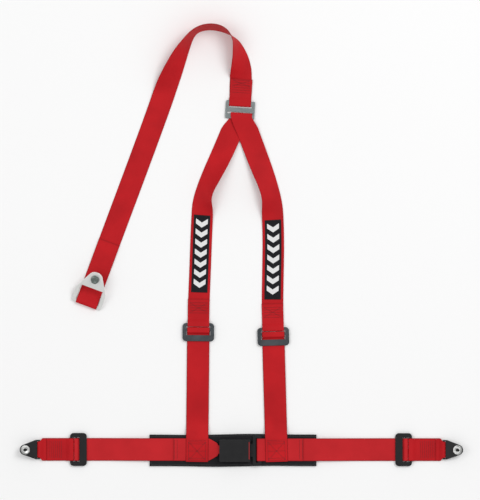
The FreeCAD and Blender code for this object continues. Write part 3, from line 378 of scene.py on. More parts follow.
def stitch_points(name, runs, material):
    """Thread stitches along runs, each a list of (point, normal)."""
    verts, faces = [], []
    sides = 6
    for run in runs:
        for (start, normal), (end, _) in zip(run, run[1:]):
            along = end - start
            pieces = max(1, round(along.length / STITCH))
            for k in range(pieces):
                one = start + along * (k + 0.1) / pieces
                two = start + along * (k + 0.9) / pieces
                side = along.normalized().cross(normal).normalized()
                first = len(verts)
                for share, size, lift in STITCH_RINGS:
                    centre = one.lerp(two, share) + normal * lift
                    for corner in range(sides):
                        angle = 2 * math.pi * corner / sides
                        arm = side * math.cos(angle) + normal * math.sin(angle)
                        verts.append(centre + arm * THREAD * size)
                for ring in range(3):
                    for corner in range(sides):
                        n = (corner + 1) % sides
                        a = first + ring * sides
                        faces.append((a + corner, a + n, a + sides + n, a + sides + corner))
                faces.append(tuple(first + c for c in range(sides - 1, -1, -1)))
                faces.append(tuple(first + 3 * sides + c for c in range(sides)))
    return new_object(name, verts, faces, material)


MARK_STEP = 6.0


def dense(marks):
    """More marks along straight lines between the given ones."""
    found = [marks[0]]
    for (v0, u0), (v1, u1) in zip(marks, marks[1:]):
        pieces = max(1, math.ceil(math.hypot(v1 - v0, u1 - u0) / MARK_STEP))
        for k in range(1, pieces + 1):
            found.append((v0 + (v1 - v0) * k / pieces, u0 + (u1 - u0) * k / pieces))
    return found


def box_cross(low, high, half):
    """A stitched box with its two diagonals."""
    box = [(low, -half), (high, -half), (high, half), (low, half), (low, -half)]
    return [dense(box), dense([(low, -half), (high, half)]), dense([(high, -half), (low, half)])]


def rows(low, high, count, half):
    """Rows of stitches straight across a strap."""
    places = [low + (high - low) * k / max(count - 1, 1) for k in range(count)]
    return [dense([(v, -half), (v, half)]) for v in places]


# ---- materials


def node_material(name, inputs):
    """A Principled material with these inputs, its node tree and its shader."""
    material = bpy.data.materials.new(name)
    material.use_nodes = True
    tree = material.node_tree
    shader = tree.nodes["Principled BSDF"]
    for key, value in inputs.items():
        shader.inputs[key].default_value = value
    return material, tree, shader


def add_node(tree, kind, inputs=None, **settings):
    """A shader node, with each input linked if it is given a socket and set if it is given a value."""
    node = tree.nodes.new(kind)
    for key, value in settings.items():
        setattr(node, key, value)
    for key, value in (inputs or {}).items():
        if isinstance(value, bpy.types.NodeSocket):
            tree.links.new(value, node.inputs[key])
        else:
            node.inputs[key].default_value = value
    return node


def math_node(tree, operation, one, two=0.0):
    """The result of an operation on two values or sockets."""
    return add_node(tree, "ShaderNodeMath", {0: one, 1: two}, operation=operation).outputs[0]


def weighted(tree, one, share, other, rest):
    """The sum of two values or sockets, each times its own share."""
    first = math_node(tree, "MULTIPLY", one, share)
    return math_node(tree, "ADD", first, math_node(tree, "MULTIPLY", other, rest))


def mix_colour(tree, factor, one, two):
    """One colour at factor 0 and the other at 1."""
    return add_node(tree, "ShaderNodeMix", {0: factor, 6: one, 7: two}, data_type="RGBA").outputs[2]


def object_place(tree):
    """The position on the object, in metres."""
    return add_node(tree, "ShaderNodeTexCoord").outputs["Object"]


def cloudy(tree, place, scale, detail):
    """Noise between 0 and 1."""
    inputs = {"Vector": place, "Scale": scale, "Detail": detail}
    return add_node(tree, "ShaderNodeTexNoise", inputs).outputs["Fac"]


def set_bump(tree, shader, height, strength, distance, rounding=0.0):
    """Bump from a height, over edges that are rounded by the shader if a radius is given."""
    sizes = {"Height": height, "Strength": strength, "Distance": distance}
    bump = add_node(tree, "ShaderNodeBump", sizes)
    if rounding:
        rounded = add_node(tree, "ShaderNodeBevel", {"Radius": rounding}, samples=4)
        tree.links.new(rounded.outputs["Normal"], bump.inputs["Normal"])
    tree.links.new(bump.outputs["Normal"], shader.inputs["Normal"])


def wave(tree, source, period):
    """A sine of this period, in metres, between 0 and 1."""
    swing = math_node(tree, "SINE", math_node(tree, "MULTIPLY", source, 2 * math.pi / period))
    return math_node(tree, "MULTIPLY_ADD", swing, 0.5)


# Weave of the webbing, in metres.
TWILL_FOLD = 0.00625
TWILL_PERIOD = 0.0022
RIB_PERIOD = 0.00125
# Where the painted shade along each long edge of the webbing starts, out from its middle.
EDGE_SHADE_START = 0.0242


def webbing_material(name, colour, deep, burnt_and_edge_shade, sheen):
    """Woven polyester: a diagonal twill that reverses across the width, over fine lengthwise ribs, with
    painted shade along both long edges.
    """
    sheens = {"Sheen Weight": sheen, "Sheen Roughness": 0.4, "Sheen Tint": (1.0, 0.3, 0.3, 1.0)}
    inputs = {"Roughness": 0.62, "Specular IOR Level": 0.16, **sheens}
    material, tree, shader = node_material(name, inputs)
    uv = add_node(tree, "ShaderNodeUVMap", uv_map="weave")
    parts = add_node(tree, "ShaderNodeSeparateXYZ", {"Vector": uv.outputs["UV"]})
    across, along = parts.outputs["X"], parts.outputs["Y"]
    fold = math_node(tree, "PINGPONG", math_node(tree, "ADD", across, 0.05), TWILL_FOLD)
    slant = math_node(tree, "ADD", fold, along)
    weave = weighted(tree, wave(tree, slant, TWILL_PERIOD), 0.6, wave(tree, across, RIB_PERIOD), 0.4)
    point = object_place(tree)
    cloud = cloudy(tree, point, 14.0, 3.0)
    fibre = cloudy(tree, point, 900.0, 2.0)
    shade = weighted(tree, weave, 0.35, cloud, 0.65)
    ramp = add_node(tree, "ShaderNodeValToRGB", {"Fac": shade})
    for stop, place, tone in zip(ramp.color_ramp.elements, (0.28, 0.72), (deep, colour)):
        stop.position = place
        stop.color = tone
    # Painted shade: the long edges are mixed part way towards the dark colour, where the webbing rounds
    # off.
    edge = math_node(tree, "GREATER_THAN", math_node(tree, "ABSOLUTE", across), EDGE_SHADE_START)
    edge_shaded = mix_colour(tree, math_node(tree, "MULTIPLY", edge, 0.6), ramp.outputs["Color"], burnt_and_edge_shade)
    sealed = add_node(tree, "ShaderNodeAttribute", attribute_name="sealed").outputs["Fac"]
    final = mix_colour(tree, math_node(tree, "MULTIPLY", sealed, 0.55), edge_shaded, burnt_and_edge_shade)
    tree.links.new(final, shader.inputs["Base Color"])
    height = math_node(tree, "ADD", weave, math_node(tree, "MULTIPLY", fibre, 0.5))
    set_bump(tree, shader, height, 0.35, 0.0003)
    return material


def grained_material(name, colour, roughness, shade, tint, grain, bump):
    """One colour, darker in places by the tint noise, under a fine grain."""
    material, tree, shader = node_material(name, {"Roughness": roughness})
    point = object_place(tree)
    dark = [c * shade for c in colour[:3]] + [1.0]
    mixed = mix_colour(tree, cloudy(tree, point, *tint), dark, colour)
    tree.links.new(mixed, shader.inputs["Base Color"])
    set_bump(tree, shader, cloudy(tree, point, *grain), *bump)
    return material


def thread_material(name, colour):
    """Twisted thread, with painted shade in its hollows: the noise that makes its twist also darkens it
    where it is low.
    """
    twist_and_shade = (1500.0, 1.0)
    return grained_material(name, colour, 0.55, 0.6, twist_and_shade, twist_and_shade, (0.4, 0.0002))


def plastic_material(name, colour, roughness):
    """Moulded plastic with a fine grain."""
    return grained_material(name, colour, roughness, 0.85, (40.0, 2.0), (1200.0, 2.0), (0.2, 0.0001))


def cloth_material(name, colour, light, period):
    """Plain-woven cloth in two close shades, laid on by position."""
    inputs = {"Roughness": 0.8, "Sheen Weight": 0.03, "Specular IOR Level": 0.15}
    material, tree, shader = node_material(name, inputs)
    point = object_place(tree)
    parts = add_node(tree, "ShaderNodeSeparateXYZ", {"Vector": point})
    warp = wave(tree, parts.outputs["X"], period)
    weft = wave(tree, parts.outputs["Y"], period)
    weave = math_node(tree, "MULTIPLY", warp, weft)
    cloud = cloudy(tree, point, 30.0, 4.0)
    blend = weighted(tree, weave, 0.5, cloud, 0.5)
    tree.links.new(mix_colour(tree, blend, colour, light), shader.inputs["Base Color"])
    set_bump(tree, shader, weave, 0.4, 0.0003)
    return material


def metal_material(name, colour, worn, roughness, metallic=1.0, scratch=0.25):
    """Plated or coated steel with uneven gloss, and fine handling marks."""
    material, tree, shader = node_material(name, {"Roughness": roughness, "Metallic": metallic})
    point = object_place(tree)
    drawn = add_node(tree, "ShaderNodeMapping", {"Vector": point, "Scale": (1.0, 0.12, 1.0)}).outputs[0]
    marks = cloudy(tree, drawn, 900.0, 3.0)
    cloud = cloudy(tree, point, 60.0, 5.0)
    tint = mix_colour(tree, cloud, colour, worn)
    tree.links.new(tint, shader.inputs["Base Color"])
    rough = math_node(tree, "MULTIPLY_ADD", cloud, 0.25)
    rough.node.inputs[2].default_value = roughness - 0.12
    tree.links.new(rough, shader.inputs["Roughness"])
    if metallic == 0.0:
        shader.inputs["Specular IOR Level"].default_value = 0.25
    set_bump(tree, shader, marks, scratch, 0.0001, 0.0007)
    return material


DARK_RED = (0.2, 0.003, 0.006, 1)
RED = webbing_material(
    "woven_red", (0.58, 0.009, 0.014, 1), (0.38, 0.004, 0.008, 1), DARK_RED, 0.05
)
# The lap belts take a lighter copy of the same red: painted sheen, for straps that run across catching
# more light than those that run up and down.
LAP_RED_PAINTED_SHEEN = webbing_material(
    "woven_red_lap_painted_sheen", (0.6, 0.016, 0.022, 1), (0.43, 0.01, 0.014, 1), DARK_RED, 0.12
)
# The red thread is drawn far darker than the webbing: a slightly darker red of its own, and painted
# shade for the grooves that the stitches pull into the webbing.
RED_THREAD_PAINTED_SHADE = thread_material("red_thread_painted_shade", (0.16, 0.004, 0.008, 1))
BLACK_THREAD = thread_material("black_thread", (0.02, 0.02, 0.022, 1))
PAD_THREAD = thread_material("pad_thread", (0.05, 0.05, 0.052, 1))
PAD_CLOTH = cloth_material("pad_nylon", (0.008, 0.008, 0.009, 1), (0.022, 0.022, 0.025, 1), 0.0011)
LABEL_CLOTH = cloth_material("label_black", (0.006, 0.006, 0.008, 1), (0.02, 0.02, 0.024, 1), 0.0006)
LABEL_WHITE = cloth_material("label_white", (0.72, 0.72, 0.72, 1), (0.9, 0.9, 0.9, 1), 0.0006)
GUNMETAL = metal_material("gunmetal", (0.05, 0.055, 0.06, 1), (0.11, 0.12, 0.13, 1), 0.38)
BLACK_STEEL = metal_material(
    "black_steel", (0.006, 0.006, 0.007, 1), (0.013, 0.013, 0.014, 1), 0.42, 0.0, 0.15
)
GREY_STEEL = metal_material("grey_steel", (0.16, 0.18, 0.18, 1), (0.28, 0.31, 0.31, 1), 0.4)
ZINC = metal_material("bright_zinc", (0.5, 0.51, 0.5, 1), (0.66, 0.66, 0.65, 1), 0.4)
PLATE_ZINC = metal_material("plate_zinc", (0.76, 0.77, 0.75, 1), (0.94, 0.94, 0.92, 1), 0.33, 0.7)
DARK_BOLT = metal_material("dark_bolt", (0.1, 0.12, 0.11, 1), (0.26, 0.3, 0.28, 1), 0.35)
LID_PAINT = metal_material(
    "lid_paint", (0.008, 0.008, 0.009, 1), (0.013, 0.013, 0.014, 1), 0.4, 0.0, 0.15
)
RED_PLASTIC = plastic_material("red_plastic", (0.5, 0.012, 0.016, 1), 0.35)
SPRING = metal_material("spring_steel", (0.4, 0.4, 0.42, 1), (0.6, 0.6, 0.6, 1), 0.3)
NYLON = plastic_material("white_nylon", (0.8, 0.8, 0.77, 1), 0.5)

DIMPLE_SHADE_RADIUS = 0.0034


def bolt_with_dimple_shade(side, lean_side):
    """Zinc with painted shade in the dimple in the head: all that lies close to the bolt's own axis is
    dark.
    """
    material = ZINC.copy()
    material.name = f"{side}_bolt_zinc_dimple_shade"
    low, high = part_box(f"{side}_anchor_bolt")
    top = ((low[0] + high[0]) / 2, (low[1] + high[1]) / 2, high[2])
    tree = material.node_tree
    shader = tree.nodes["Principled BSDF"]
    point = object_place(tree)
    moved = add_node(tree, "ShaderNodeVectorMath", {0: point, 1: top}, operation="SUBTRACT").outputs[0]
    lean = {"Vector": moved, "Angle": lean_side * math.radians(LAP_LEAN)}
    upright = add_node(tree, "ShaderNodeVectorRotate", lean, rotation_type="Y_AXIS").outputs[0]
    flat = add_node(tree, "ShaderNodeVectorMath", {0: upright, 1: (1.0, 1.0, 0.0)}, operation="MULTIPLY")
    reach = add_node(tree, "ShaderNodeVectorMath", {0: flat.outputs[0]}, operation="LENGTH")
    # Painted shade: the dimple's recess is darkened in the colour.
    dark = math_node(tree, "LESS_THAN", reach.outputs["Value"], DIMPLE_SHADE_RADIUS)
    base = shader.inputs["Base Color"].links[0].from_socket
    tree.links.new(mix_colour(tree, dark, base, (0.03, 0.03, 0.03, 1)), shader.inputs["Base Color"])
    return material


FINISHES = (
    (GUNMETAL, ("left_shoulder_adjuster", "right_shoulder_adjuster")),
    (GREY_STEEL, ("y_slide",)),
    (PLATE_ZINC, ("rear_anchor_plate",)),
    (DARK_BOLT, ("rear_anchor_bolt",)),
    (bolt_with_dimple_shade("left", 1), ("left_anchor_bolt",)),
    (bolt_with_dimple_shade("right", -1), ("right_anchor_bolt",)),
    (ZINC, ("left_bolt_washer", "right_bolt_washer", "rear_bolt_washer")),
    (NYLON, ("left_bolt_retainer", "right_bolt_retainer", "rear_bolt_retainer", "buckle_ejector")),
    (LID_PAINT, ("buckle_lid",)),
    (RED_PLASTIC, ("buckle_release_strip",)),
    (SPRING, ("buckle_lid_spring", "buckle_ejector_spring")),
    (BLACK_STEEL, ("left_lap_adjuster", "right_lap_adjuster", "left_anchor_plate")),
    (BLACK_STEEL, ("right_anchor_plate", "buckle_frame", "buckle_web_bar", "buckle_hinge_pin")),
    (BLACK_STEEL, ("buckle_spring_stop", "buckle_latch_plate", "buckle_lid_rivets", "buckle_tongue")),
)

for finish, node_names in FINISHES:
    for node_name in node_names:
        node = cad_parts[node_name]
        node.data.materials.clear()
        node.data.materials.append(finish)

# ---- routes of the straps


def bar_spans(bars):
    """Start and end of each bar and slot along a slide."""
    ends = [0.0]
    for length in bars:
        ends.append(ends[-1] + length)
    return list(zip(ends, ends[1:]))


def threaded_end(bars, tail):
    """Webbing round a slide's middle bar, from its tail to the ply under the free bar."""
    spans = bar_spans(bars)
    slot = sum(spans[3]) / 2
    wrap = spans[2][0] - 2.3
    level = HARDWARE_LOW + PLATE / 2
    slope = 1.1
    return [
        (tail, PLY_ONE, 0),
        (wrap, PLY_ONE, 2.6),
        (wrap, OVER_HARDWARE, 2.0),
        (slot - (OVER_HARDWARE - level) / slope, OVER_HARDWARE, 1.5),
        (slot + (level - PLY_TWO) / slope, PLY_TWO, 1.5),
    ]


def sewn_loop(bars, tail):
    """Webbing round a slide's sewn bar, from its tail on top to the ply below."""
    low, high = bar_spans(bars)[0]
    near = low - WEB / 2 - 0.6
    far = high + WEB / 2 + 1.0
    return [
        (-tail, PLY_TWO, 0),
        (near - 8.5, PLY_TWO, 6.0),
        (near + 0.3, OVER_HARDWARE, 5.0),
        (far, OVER_HARDWARE, 2.0),
        (far, PLY_ONE, 2.0),
    ]


def left_lap_route():
    """From the sewn tail round the buckle's web bar, back under itself and out to the adjuster."""
    bar = WEB_BAR_X - LEFT_LAP.origin.x
    top = LAP_ONE + 2 * WEB_BAR_MIDDLE
    pad_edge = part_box("lap_pad_cover")[0][0] / MM - LEFT_LAP.origin.x
    vertices = [
        (bar - 114.0, LAP_TWO, 0),
        (bar - 24.0, LAP_TWO, 20.0),
        (bar - 4.5, top, 12.0),
        (bar + WEB_BAR_MIDDLE, top, WEB_BAR_MIDDLE),
        (bar + WEB_BAR_MIDDLE, LAP_ONE, WEB_BAR_MIDDLE),
        (pad_edge - 4.0, LAP_ONE, 60.0),
        (pad_edge - 90.0, PLY_TWO, 60.0),
    ]
    vertices += threaded_end(LAP_BARS, LAP_TAIL)[::-1]
    neck = 21.5
    tip = 14.0
    under_lid = 9.5

    def half(a):
        share = (a - (bar - 13.0 - neck)) / neck
        if share <= 0:
            return LAP_HALF
        if share >= 1:
            return under_lid
        return tip + (LAP_HALF - tip) * (1 - share ** 1.15)

    return side_stations(LEFT_LAP, vertices, 3.0, half)


def right_lap_route():
    """From the sewn tail round the tongue's bar, back under itself and out to the adjuster."""
    start = RIGHT_LAP.origin.x
    middle = (PLATE + 2 * GAP + WEB) / 2
    bar = start - TONGUE_BAR_X + middle - 0.3
    top = LAP_ONE + 2 * middle
    vertices = [
        (start - 160.7, LAP_TWO, 0),
        (start - 73.2, LAP_TWO, 6.0),
        (start - 66.0, top, 4.0),
        (bar, top, middle),
        (bar, LAP_ONE, middle),
        (start - 194.0, LAP_ONE, 60.0),
        (start - 280.0, PLY_TWO, 60.0),
    ]
    vertices += threaded_end(LAP_BARS, LAP_TAIL)[::-1]
    return side_stations(RIGHT_LAP, vertices, 4.0, lambda a: LAP_HALF)


def end_route(place, distance):
    """From the adjuster's sewn bar round the anchor plate's bar and back, narrowed at the plate."""
    hinge = -distance
    middle = ANCHOR_CAVITY + WEB / 2
    vertices = sewn_loop(LAP_BARS, END_TAIL)
    vertices += [
        (hinge - middle, PLY_ONE, middle),
        (hinge - middle, PLY_ONE + 2 * middle, middle),
        (hinge + 2.0, PLY_ONE + 2 * middle, 4.0),
        (hinge + 11.0, PLY_TWO, 5.0),
        (-END_TAIL - 1.0, PLY_TWO, 0),
    ]

    def half(a):
        share = max(0.0, min(1.0, (hinge + 8.0 - a) / 7.5))
        return LAP_HALF - (LAP_HALF - 18.2) * share * share * (3 - 2 * share)

    return side_stations(place, vertices, 3.0, half)


def chest_route(place, foot):
    """From the adjuster down to the far side of the lap belt."""
    belt = foot - WIDTH
    vertices = threaded_end(SHOULDER_BARS, CHEST_TAIL)
    vertices += [
        (belt - 34.0, PLY_TWO, 30.0),
        (belt - 5.5, CHEST_OVER_LAP, 18.0),
        (foot, CHEST_OVER_LAP, 0),
    ]
    return side_stations(place, vertices, 4.0, lambda a: CHEST_HALF)



def on_ground(*stations):
    """Stations (x, y, roll) as (x, y, z, roll), with z in the middle of a ply on the ground."""
    return [(x, y, PLY_ONE, roll) for x, y, roll in stations]


# Stations of each shoulder leg's outer edge, down from the slide: x, y and roll in degrees. The
# right leg starts on top of the left, so its own have z too.
LEFT_EDGE = on_ground(
    (-20.5, 749.0, 0),
    (-30.0, 727.0, 2),
    (-47.5, 684.5, 11),
    (-67.9, 638.9, 24),
    (-85.5, 593.3, 42),
    (-92.0, 566.0, 26),
    (-94.6, 543.0, 0),
    (-97.2, 490.0, 0),
    (-99.5, 420.0, 0),
    (-102.5, 350.0, 0),
    (-103.6, 312.0, 0),
)
RIGHT_EDGE = [
    (52.5, 749.0, OVER_SLIDE - 0.6, 0),
    (61.0, 725.0, PLY_TWO + 0.3, 0),
    (75.9, 684.5, PLY_TWO, 4),
    (92.3, 638.9, PLY_ONE, 17),
    (106.0, 593.3, PLY_ONE, 34),
    (112.5, 563.0, PLY_ONE, 19),
    (115.6, 534.0, PLY_ONE, 0),
    (117.0, 485.0, PLY_ONE, 0),
    (117.0, 440.0, PLY_ONE, 0),
    (114.8, 350.0, PLY_ONE, 0),
    (115.4, 302.0, PLY_ONE, 0),
]
# The rear strap's edge that starts on the right: up from the slide, over the arch and down the long
# leg. The strap rolls through half a turn, so its other side is up on the long leg.
REAR_EDGE = on_ground(
    (41.8, 818.0, 0),
    (42.9, 846.0, 0),
    (42.6, 856.0, 5),
    (41.7, 871.0, 19),
    (34.4, 899.0, 39),
    (22.0, 921.6, 58),
    (10.0, 937.5, 75),
    (-17.0, 952.0, 102),
    (-52.0, 959.4, 104),
    (-79.8, 953.0, 102),
    (-91.0, 938.0, 108),
    (-99.5, 913.0, 123),
    (-105.5, 893.0, 134),
    (-119.0, 848.6, 155),
    (-128.3, 821.3, 169),
    (-138.7, 789.3, 180),
    (-176.6, 684.5, 180),
)


def shoulder_loop(place, tail):
    """The sewn end of a shoulder leg, from the main ply round the bar to the tail on top."""
    vertices = sewn_loop(SHOULDER_BARS, tail) + [(-16.0, PLY_ONE, 0)]
    return side_stations(place, vertices[::-1], 3.0)


def slide_wrap():
    """Up from under the front leg, round the slide's wide bar, and out over the back leg."""
    low, high = bar_spans(SLIDE_BARS)[4]
    turn = (OVER_SLIDE - PLY_ONE) / 2
    near = low - GAP - WEB / 2 - 1.25
    vertices = [
        (high + 2.0, PLY_ONE, 0),
        (near, PLY_ONE, turn),
        (near, OVER_SLIDE, turn),
        (high + 1.0, OVER_SLIDE, 0),
    ]
    return side_stations(SLIDE.shifted(0.0, 3.6), vertices, 2.0)


LEG_SKIP = 3


def leg_stations(path, side):
    """One leg of the shoulder webbing, down from the slide, less its first few stations."""
    leg = edge_stations(path, side)[LEG_SKIP:]
    soften(leg, 0, len(leg), passes=60)
    for station in leg:
        station.across = station.across * side
    return leg


def shoulder_route():
    """Up the left leg, round the slide's bar and down the right leg."""
    left = leg_stations(LEFT_EDGE, 1)[::-1]
    right = leg_stations(RIGHT_EDGE, -1)
    left_end = shoulder_loop(LEFT_SHOULDER, LEG_TAIL)[::-1]
    right_end = shoulder_loop(RIGHT_SHOULDER, RIGHT_LEG_TAIL)
    whole = joined(left_end, left, slide_wrap(), right, right_end)
    for station in whole:
        station.half = LEG_HALF
    return whole


def rear_route():
    """Sewn end at the slide, the arch, the long leg, and the sewn end at the rear anchor."""
    low, high = bar_spans(SLIDE_BARS)[0]
    turn = (OVER_SLIDE - PLY_ONE) / 2
    far = high + GAP + WEB / 2 + 1.25
    top = side_stations(
        SLIDE.shifted(0.0, -1.2),
        [
            (-50.0, PLY_TWO, 0),
            (low - 9.0, PLY_TWO, 8.0),
            (low - 1.0, OVER_SLIDE, 6.0),
            (far, OVER_SLIDE, turn),
            (far, PLY_ONE, turn),
            (-18.0, PLY_ONE, 0),
        ],
        3.0,
        flip=True,
    )
    middle = REAR_CAVITY + WEB / 2
    base = side_stations(
        REAR,
        [
            (REAR_TAIL, PLY_ONE, 0),
            (-middle, PLY_ONE, middle),
            (-middle, PLY_ONE + 2 * middle, middle),
            (2.0, PLY_ONE + 2 * middle, 5.0),
            (20.0, PLY_TWO, 12.0),
            (REAR_TAIL, PLY_TWO, 0),
        ],
        4.0,
    )
    reach = REAR.point(REAR_TAIL + 12.0, -WIDTH / 2, PLY_ONE)
    arch = edge_stations(REAR_EDGE + on_ground((reach.x, reach.y, 180)), 1)
    soften(arch, 12, len(arch), passes=40)
    return joined(top, arch, base)


# ---- straps


def with_end_rings(stations):
    """The stations with one more just inside each end, so the shading is even up to the end face."""
    inside = 0.05
    first, second, before, last = stations[0], stations[1], stations[-2], stations[-1]
    near = first.middle + (second.middle - first.middle).normalized() * inside
    far = last.middle + (before.middle - last.middle).normalized() * inside
    return (
        [first, Station(near, first.across, first.half)]
        + list(stations[1:-1])
        + [Station(far, last.across, last.half), last]
    )


def make_strap(name, route, nodes, start=0.0, cut=(True, True), material=RED):
    """A woven strap's mesh and its ribbon, with the CAD solids it stands for hidden."""
    ribbon = Ribbon(with_end_rings(route), start)
    obj = ribbon_object(name, ribbon, material, cut)
    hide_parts(*nodes)
    return obj, ribbon


def place_point(place, a, z=5.0):
    """A point on a slide's own line, in metres."""
    return tuple(place.point(a, 0.0, z) * MM)


def sew(name, ribbon, runs):
    """Red thread along runs of marks (along, across) on the side of the ribbon that faces up."""
    raised = [[ribbon.on_top(v, u) for v, u in run] for run in runs]
    threads = stitch_points(name, raised, RED_THREAD_PAINTED_SHADE)
    return threads


def flex(obj, place, span):
    """Works out the points at each end of the span, then bakes the piece's place into its mesh."""
    place_point(place, span[0])
    place_point(place, span[1])
    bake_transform(obj)


def follow_bar(obj, place, bars, top):
    """Works out a point on the sewn bar and one behind the loop, then bakes the piece's place into its
    mesh.
    """
    bar = place_point(place, bars[0] / 2, top)
    place_point(place, LOOP_END, PLY_ONE)
    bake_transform(obj)


def along(ribbon, place, a, z):
    """How far along a ribbon the point is that a place has at this distance and height."""
    return ribbon.nearest(place.point(a, 0.0, z))


def between(ribbon, place, a, b):
    """How far along a ribbon two points of its upper ply are, the nearer one first."""
    return sorted(along(ribbon, place, distance, PLY_TWO) for distance in (a, b))


def lap_straps():
    """The two lap belts, each from its sewn tail round the buckle's or tongue's bar to its adjuster."""
    for side, route, place, body in (
        ("left", left_lap_route(), LEFT_LAP, "harness"),
        ("right", right_lap_route(), RIGHT_LAP, "tongue_side"),
    ):
        # The lap belts get the lighter red, with its painted sheen.
        obj, line = make_strap(
            f"{side}_lap_webbing", route, [f"{side}_lap_strap"], material=LAP_RED_PAINTED_SHEEN
        )
        flex(obj, place, LAP_FLEX)
        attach(sew(f"{side}_lap_tail_stitches", line, rows(2.6, 9.0, 2, 22.0)), body)


def end_straps():
    """The short doubled straps out to the lap anchors, each sewn through with close rows."""
    for side, place, hinge, body in (
        ("left", LEFT_LAP, LEFT_ANCHOR_X, "harness"),
        ("right", RIGHT_LAP, RIGHT_ANCHOR_X, "tongue_side"),
    ):
        route = end_route(place, abs(hinge - place.origin.x))
        obj, line = make_strap(
            f"{side}_end_webbing", route, [f"{side}_end_strap"],
            cut=(False, False),
        )
        follow_bar(obj, place, LAP_BARS, OVER_HARDWARE)
        first, last = between(line, place, -END_TAIL + 3.0, -19.0)
        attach(sew(f"{side}_end_stitches", line, rows(first, last, 8, 20.0)), body)


def chest_foot(name, line, place, foot, body):
    """A box with a cross, and rows between, where a chest strap is sewn over the lap belt."""
    low = along(line, place, foot - WIDTH + 5.0, CHEST_OVER_LAP)
    high = along(line, place, foot - 4.0, CHEST_OVER_LAP)
    runs = box_cross(low, high, 19.5) + rows(low + 4.5, high - 4.5, 3, 19.5)
    fold = along(line, place, foot - WIDTH - 0.5, CHEST_OVER_LAP)
    runs += rows(fold, fold, 1, 21.0)
    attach(sew(name, line, runs), body)


def chest_straps():
    """Down from the shoulder adjusters, each sewn over its lap belt."""
    route = chest_route(LEFT_SHOULDER, LEFT_CHEST_FOOT)
    left, left_line = make_strap("left_chest_webbing", route, ["left_chest_strap"])
    flex(left, LEFT_SHOULDER, CHEST_FLEX)
    chest_foot("left_chest_stitches", left_line, LEFT_SHOULDER, LEFT_CHEST_FOOT, "harness")
    # The right strap is two pieces that meet.
    route = chest_route(RIGHT_SHOULDER, RIGHT_CHEST_FOOT)
    reach = [(s.middle - RIGHT_SHOULDER.origin).dot(RIGHT_SHOULDER.along) for s in route]
    split = 1 + max(k for k, a in enumerate(reach) if a < RIGHT_CHEST_SPLIT)
    upper, upper_line = make_strap(
        "right_chest_webbing_top", route[: split + 1], ["right_chest_strap"],
        cut=(True, False),
    )
    flex(upper, RIGHT_SHOULDER, CHEST_FLEX)
    lower, lower_line = make_strap(
        "right_chest_webbing_foot", route[split:], ["right_chest_strap"],
        start=upper_line.length(), cut=(False, True),
    )
    flex(lower, RIGHT_SHOULDER, FOOT_FLEX)
    chest_foot("right_chest_stitches", lower_line, RIGHT_SHOULDER, RIGHT_CHEST_FOOT, "tongue_side")


SEWN_HALF = 20.5


def crossed(first, last):
    """Two stitched diagonals."""
    half = SEWN_HALF
    return [dense([(first, -half), (last, half)]), dense([(first, half), (last, -half)])]


def leg_stitches(name, line, place):
    """Rows and a cross where a shoulder leg's tail is sewn down."""
    first, last = between(line, place, -LEG_TAIL + 8.0, -LEG_TAIL + 33.0)
    runs = rows(first, last, 5, SEWN_HALF) + crossed(first, last)
    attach(sew(name, line, runs), "harness")


def split_at(route, y, rising, first=0):
    """Index of the station where a route first passes this y, going up or down."""
    for index in range(first, len(route)):
        if (route[index].middle.y > y) == rising:
            return index
    return len(route) - 1


def shoulder_strap():
    """The shoulder webbing: both legs and the wrap in one piece, and a sewn end at each adjuster."""
    route = shoulder_route()
    low = split_at(route, LEFT_SPLIT_Y, True)
    crossing = split_at(route, SLIDE.origin.y - 30.0, True)
    high = split_at(route, RIGHT_SPLIT_Y, False, crossing)
    left_end, left_line = make_strap(
        "shoulder_left_webbing_end", route[: low + 1], ["shoulder_strap"],
        cut=(True, False),
    )
    legs, legs_line = make_strap(
        "shoulder_webbing", route[low : high + 1], ["shoulder_strap"],
        start=left_line.length(), cut=(False, False),
    )
    right_end, right_line = make_strap(
        "shoulder_right_webbing_end", route[high:], ["shoulder_strap"],
        start=left_line.length() + legs_line.length(), cut=(False, True),
    )
    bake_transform(legs)
    follow_bar(left_end, LEFT_SHOULDER, SHOULDER_BARS, OVER_HARDWARE)
    follow_bar(right_end, RIGHT_SHOULDER, SHOULDER_BARS, OVER_HARDWARE)
    leg_stitches("left_leg_stitches", left_line, LEFT_SHOULDER)
    leg_stitches("right_leg_stitches", right_line, RIGHT_SHOULDER)
    return Ribbon(route[low:crossing][::-1]), Ribbon(route[crossing : high + 1])


def rear_strap():
    """The rear strap: its sewn end at the slide, then the arch and the long leg."""
    route = rear_route()
    split = split_at(route, REAR_SPLIT_Y, True)
    end, end_line = make_strap(
        "rear_webbing_end", route[: split + 1], ["rear_strap"], cut=(True, False)
    )
    follow_bar(end, SLIDE, SLIDE_BARS, OVER_SLIDE)
    rest, _ = make_strap(
        "rear_webbing", route[split:], ["rear_strap"], start=end_line.length(),
        cut=(False, True),
    )
    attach(rest, "harness")
    first, last = between(end_line, SLIDE, -46.0, -20.0)
    runs = rows(first, last, 6, SEWN_HALF) + crossed(first, (first + last) / 2)
    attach(sew("rear_top_stitches", end_line, runs), "harness")


# ---- pad


PAD_HALF_X = 190.0
PAD_HALF_Y = 37.0


def pad_edges(x):
    """The pad's low and high edge at x: long edges that bow where the belt has creased them."""
    high = PAD_HALF_Y - 1.2 + 1.6 * math.exp(-((x - 40.0) / 70.0) ** 2)
    high -= 0.9 * math.exp(-((x + 90.0) / 60.0) ** 2)
    low = -PAD_HALF_Y + 1.0 - 1.6 * math.exp(-((x + 35.0) / 60.0) ** 2)
    low += 0.6 * math.exp(-((x - 95.0) / 45.0) ** 2)
    return low, high


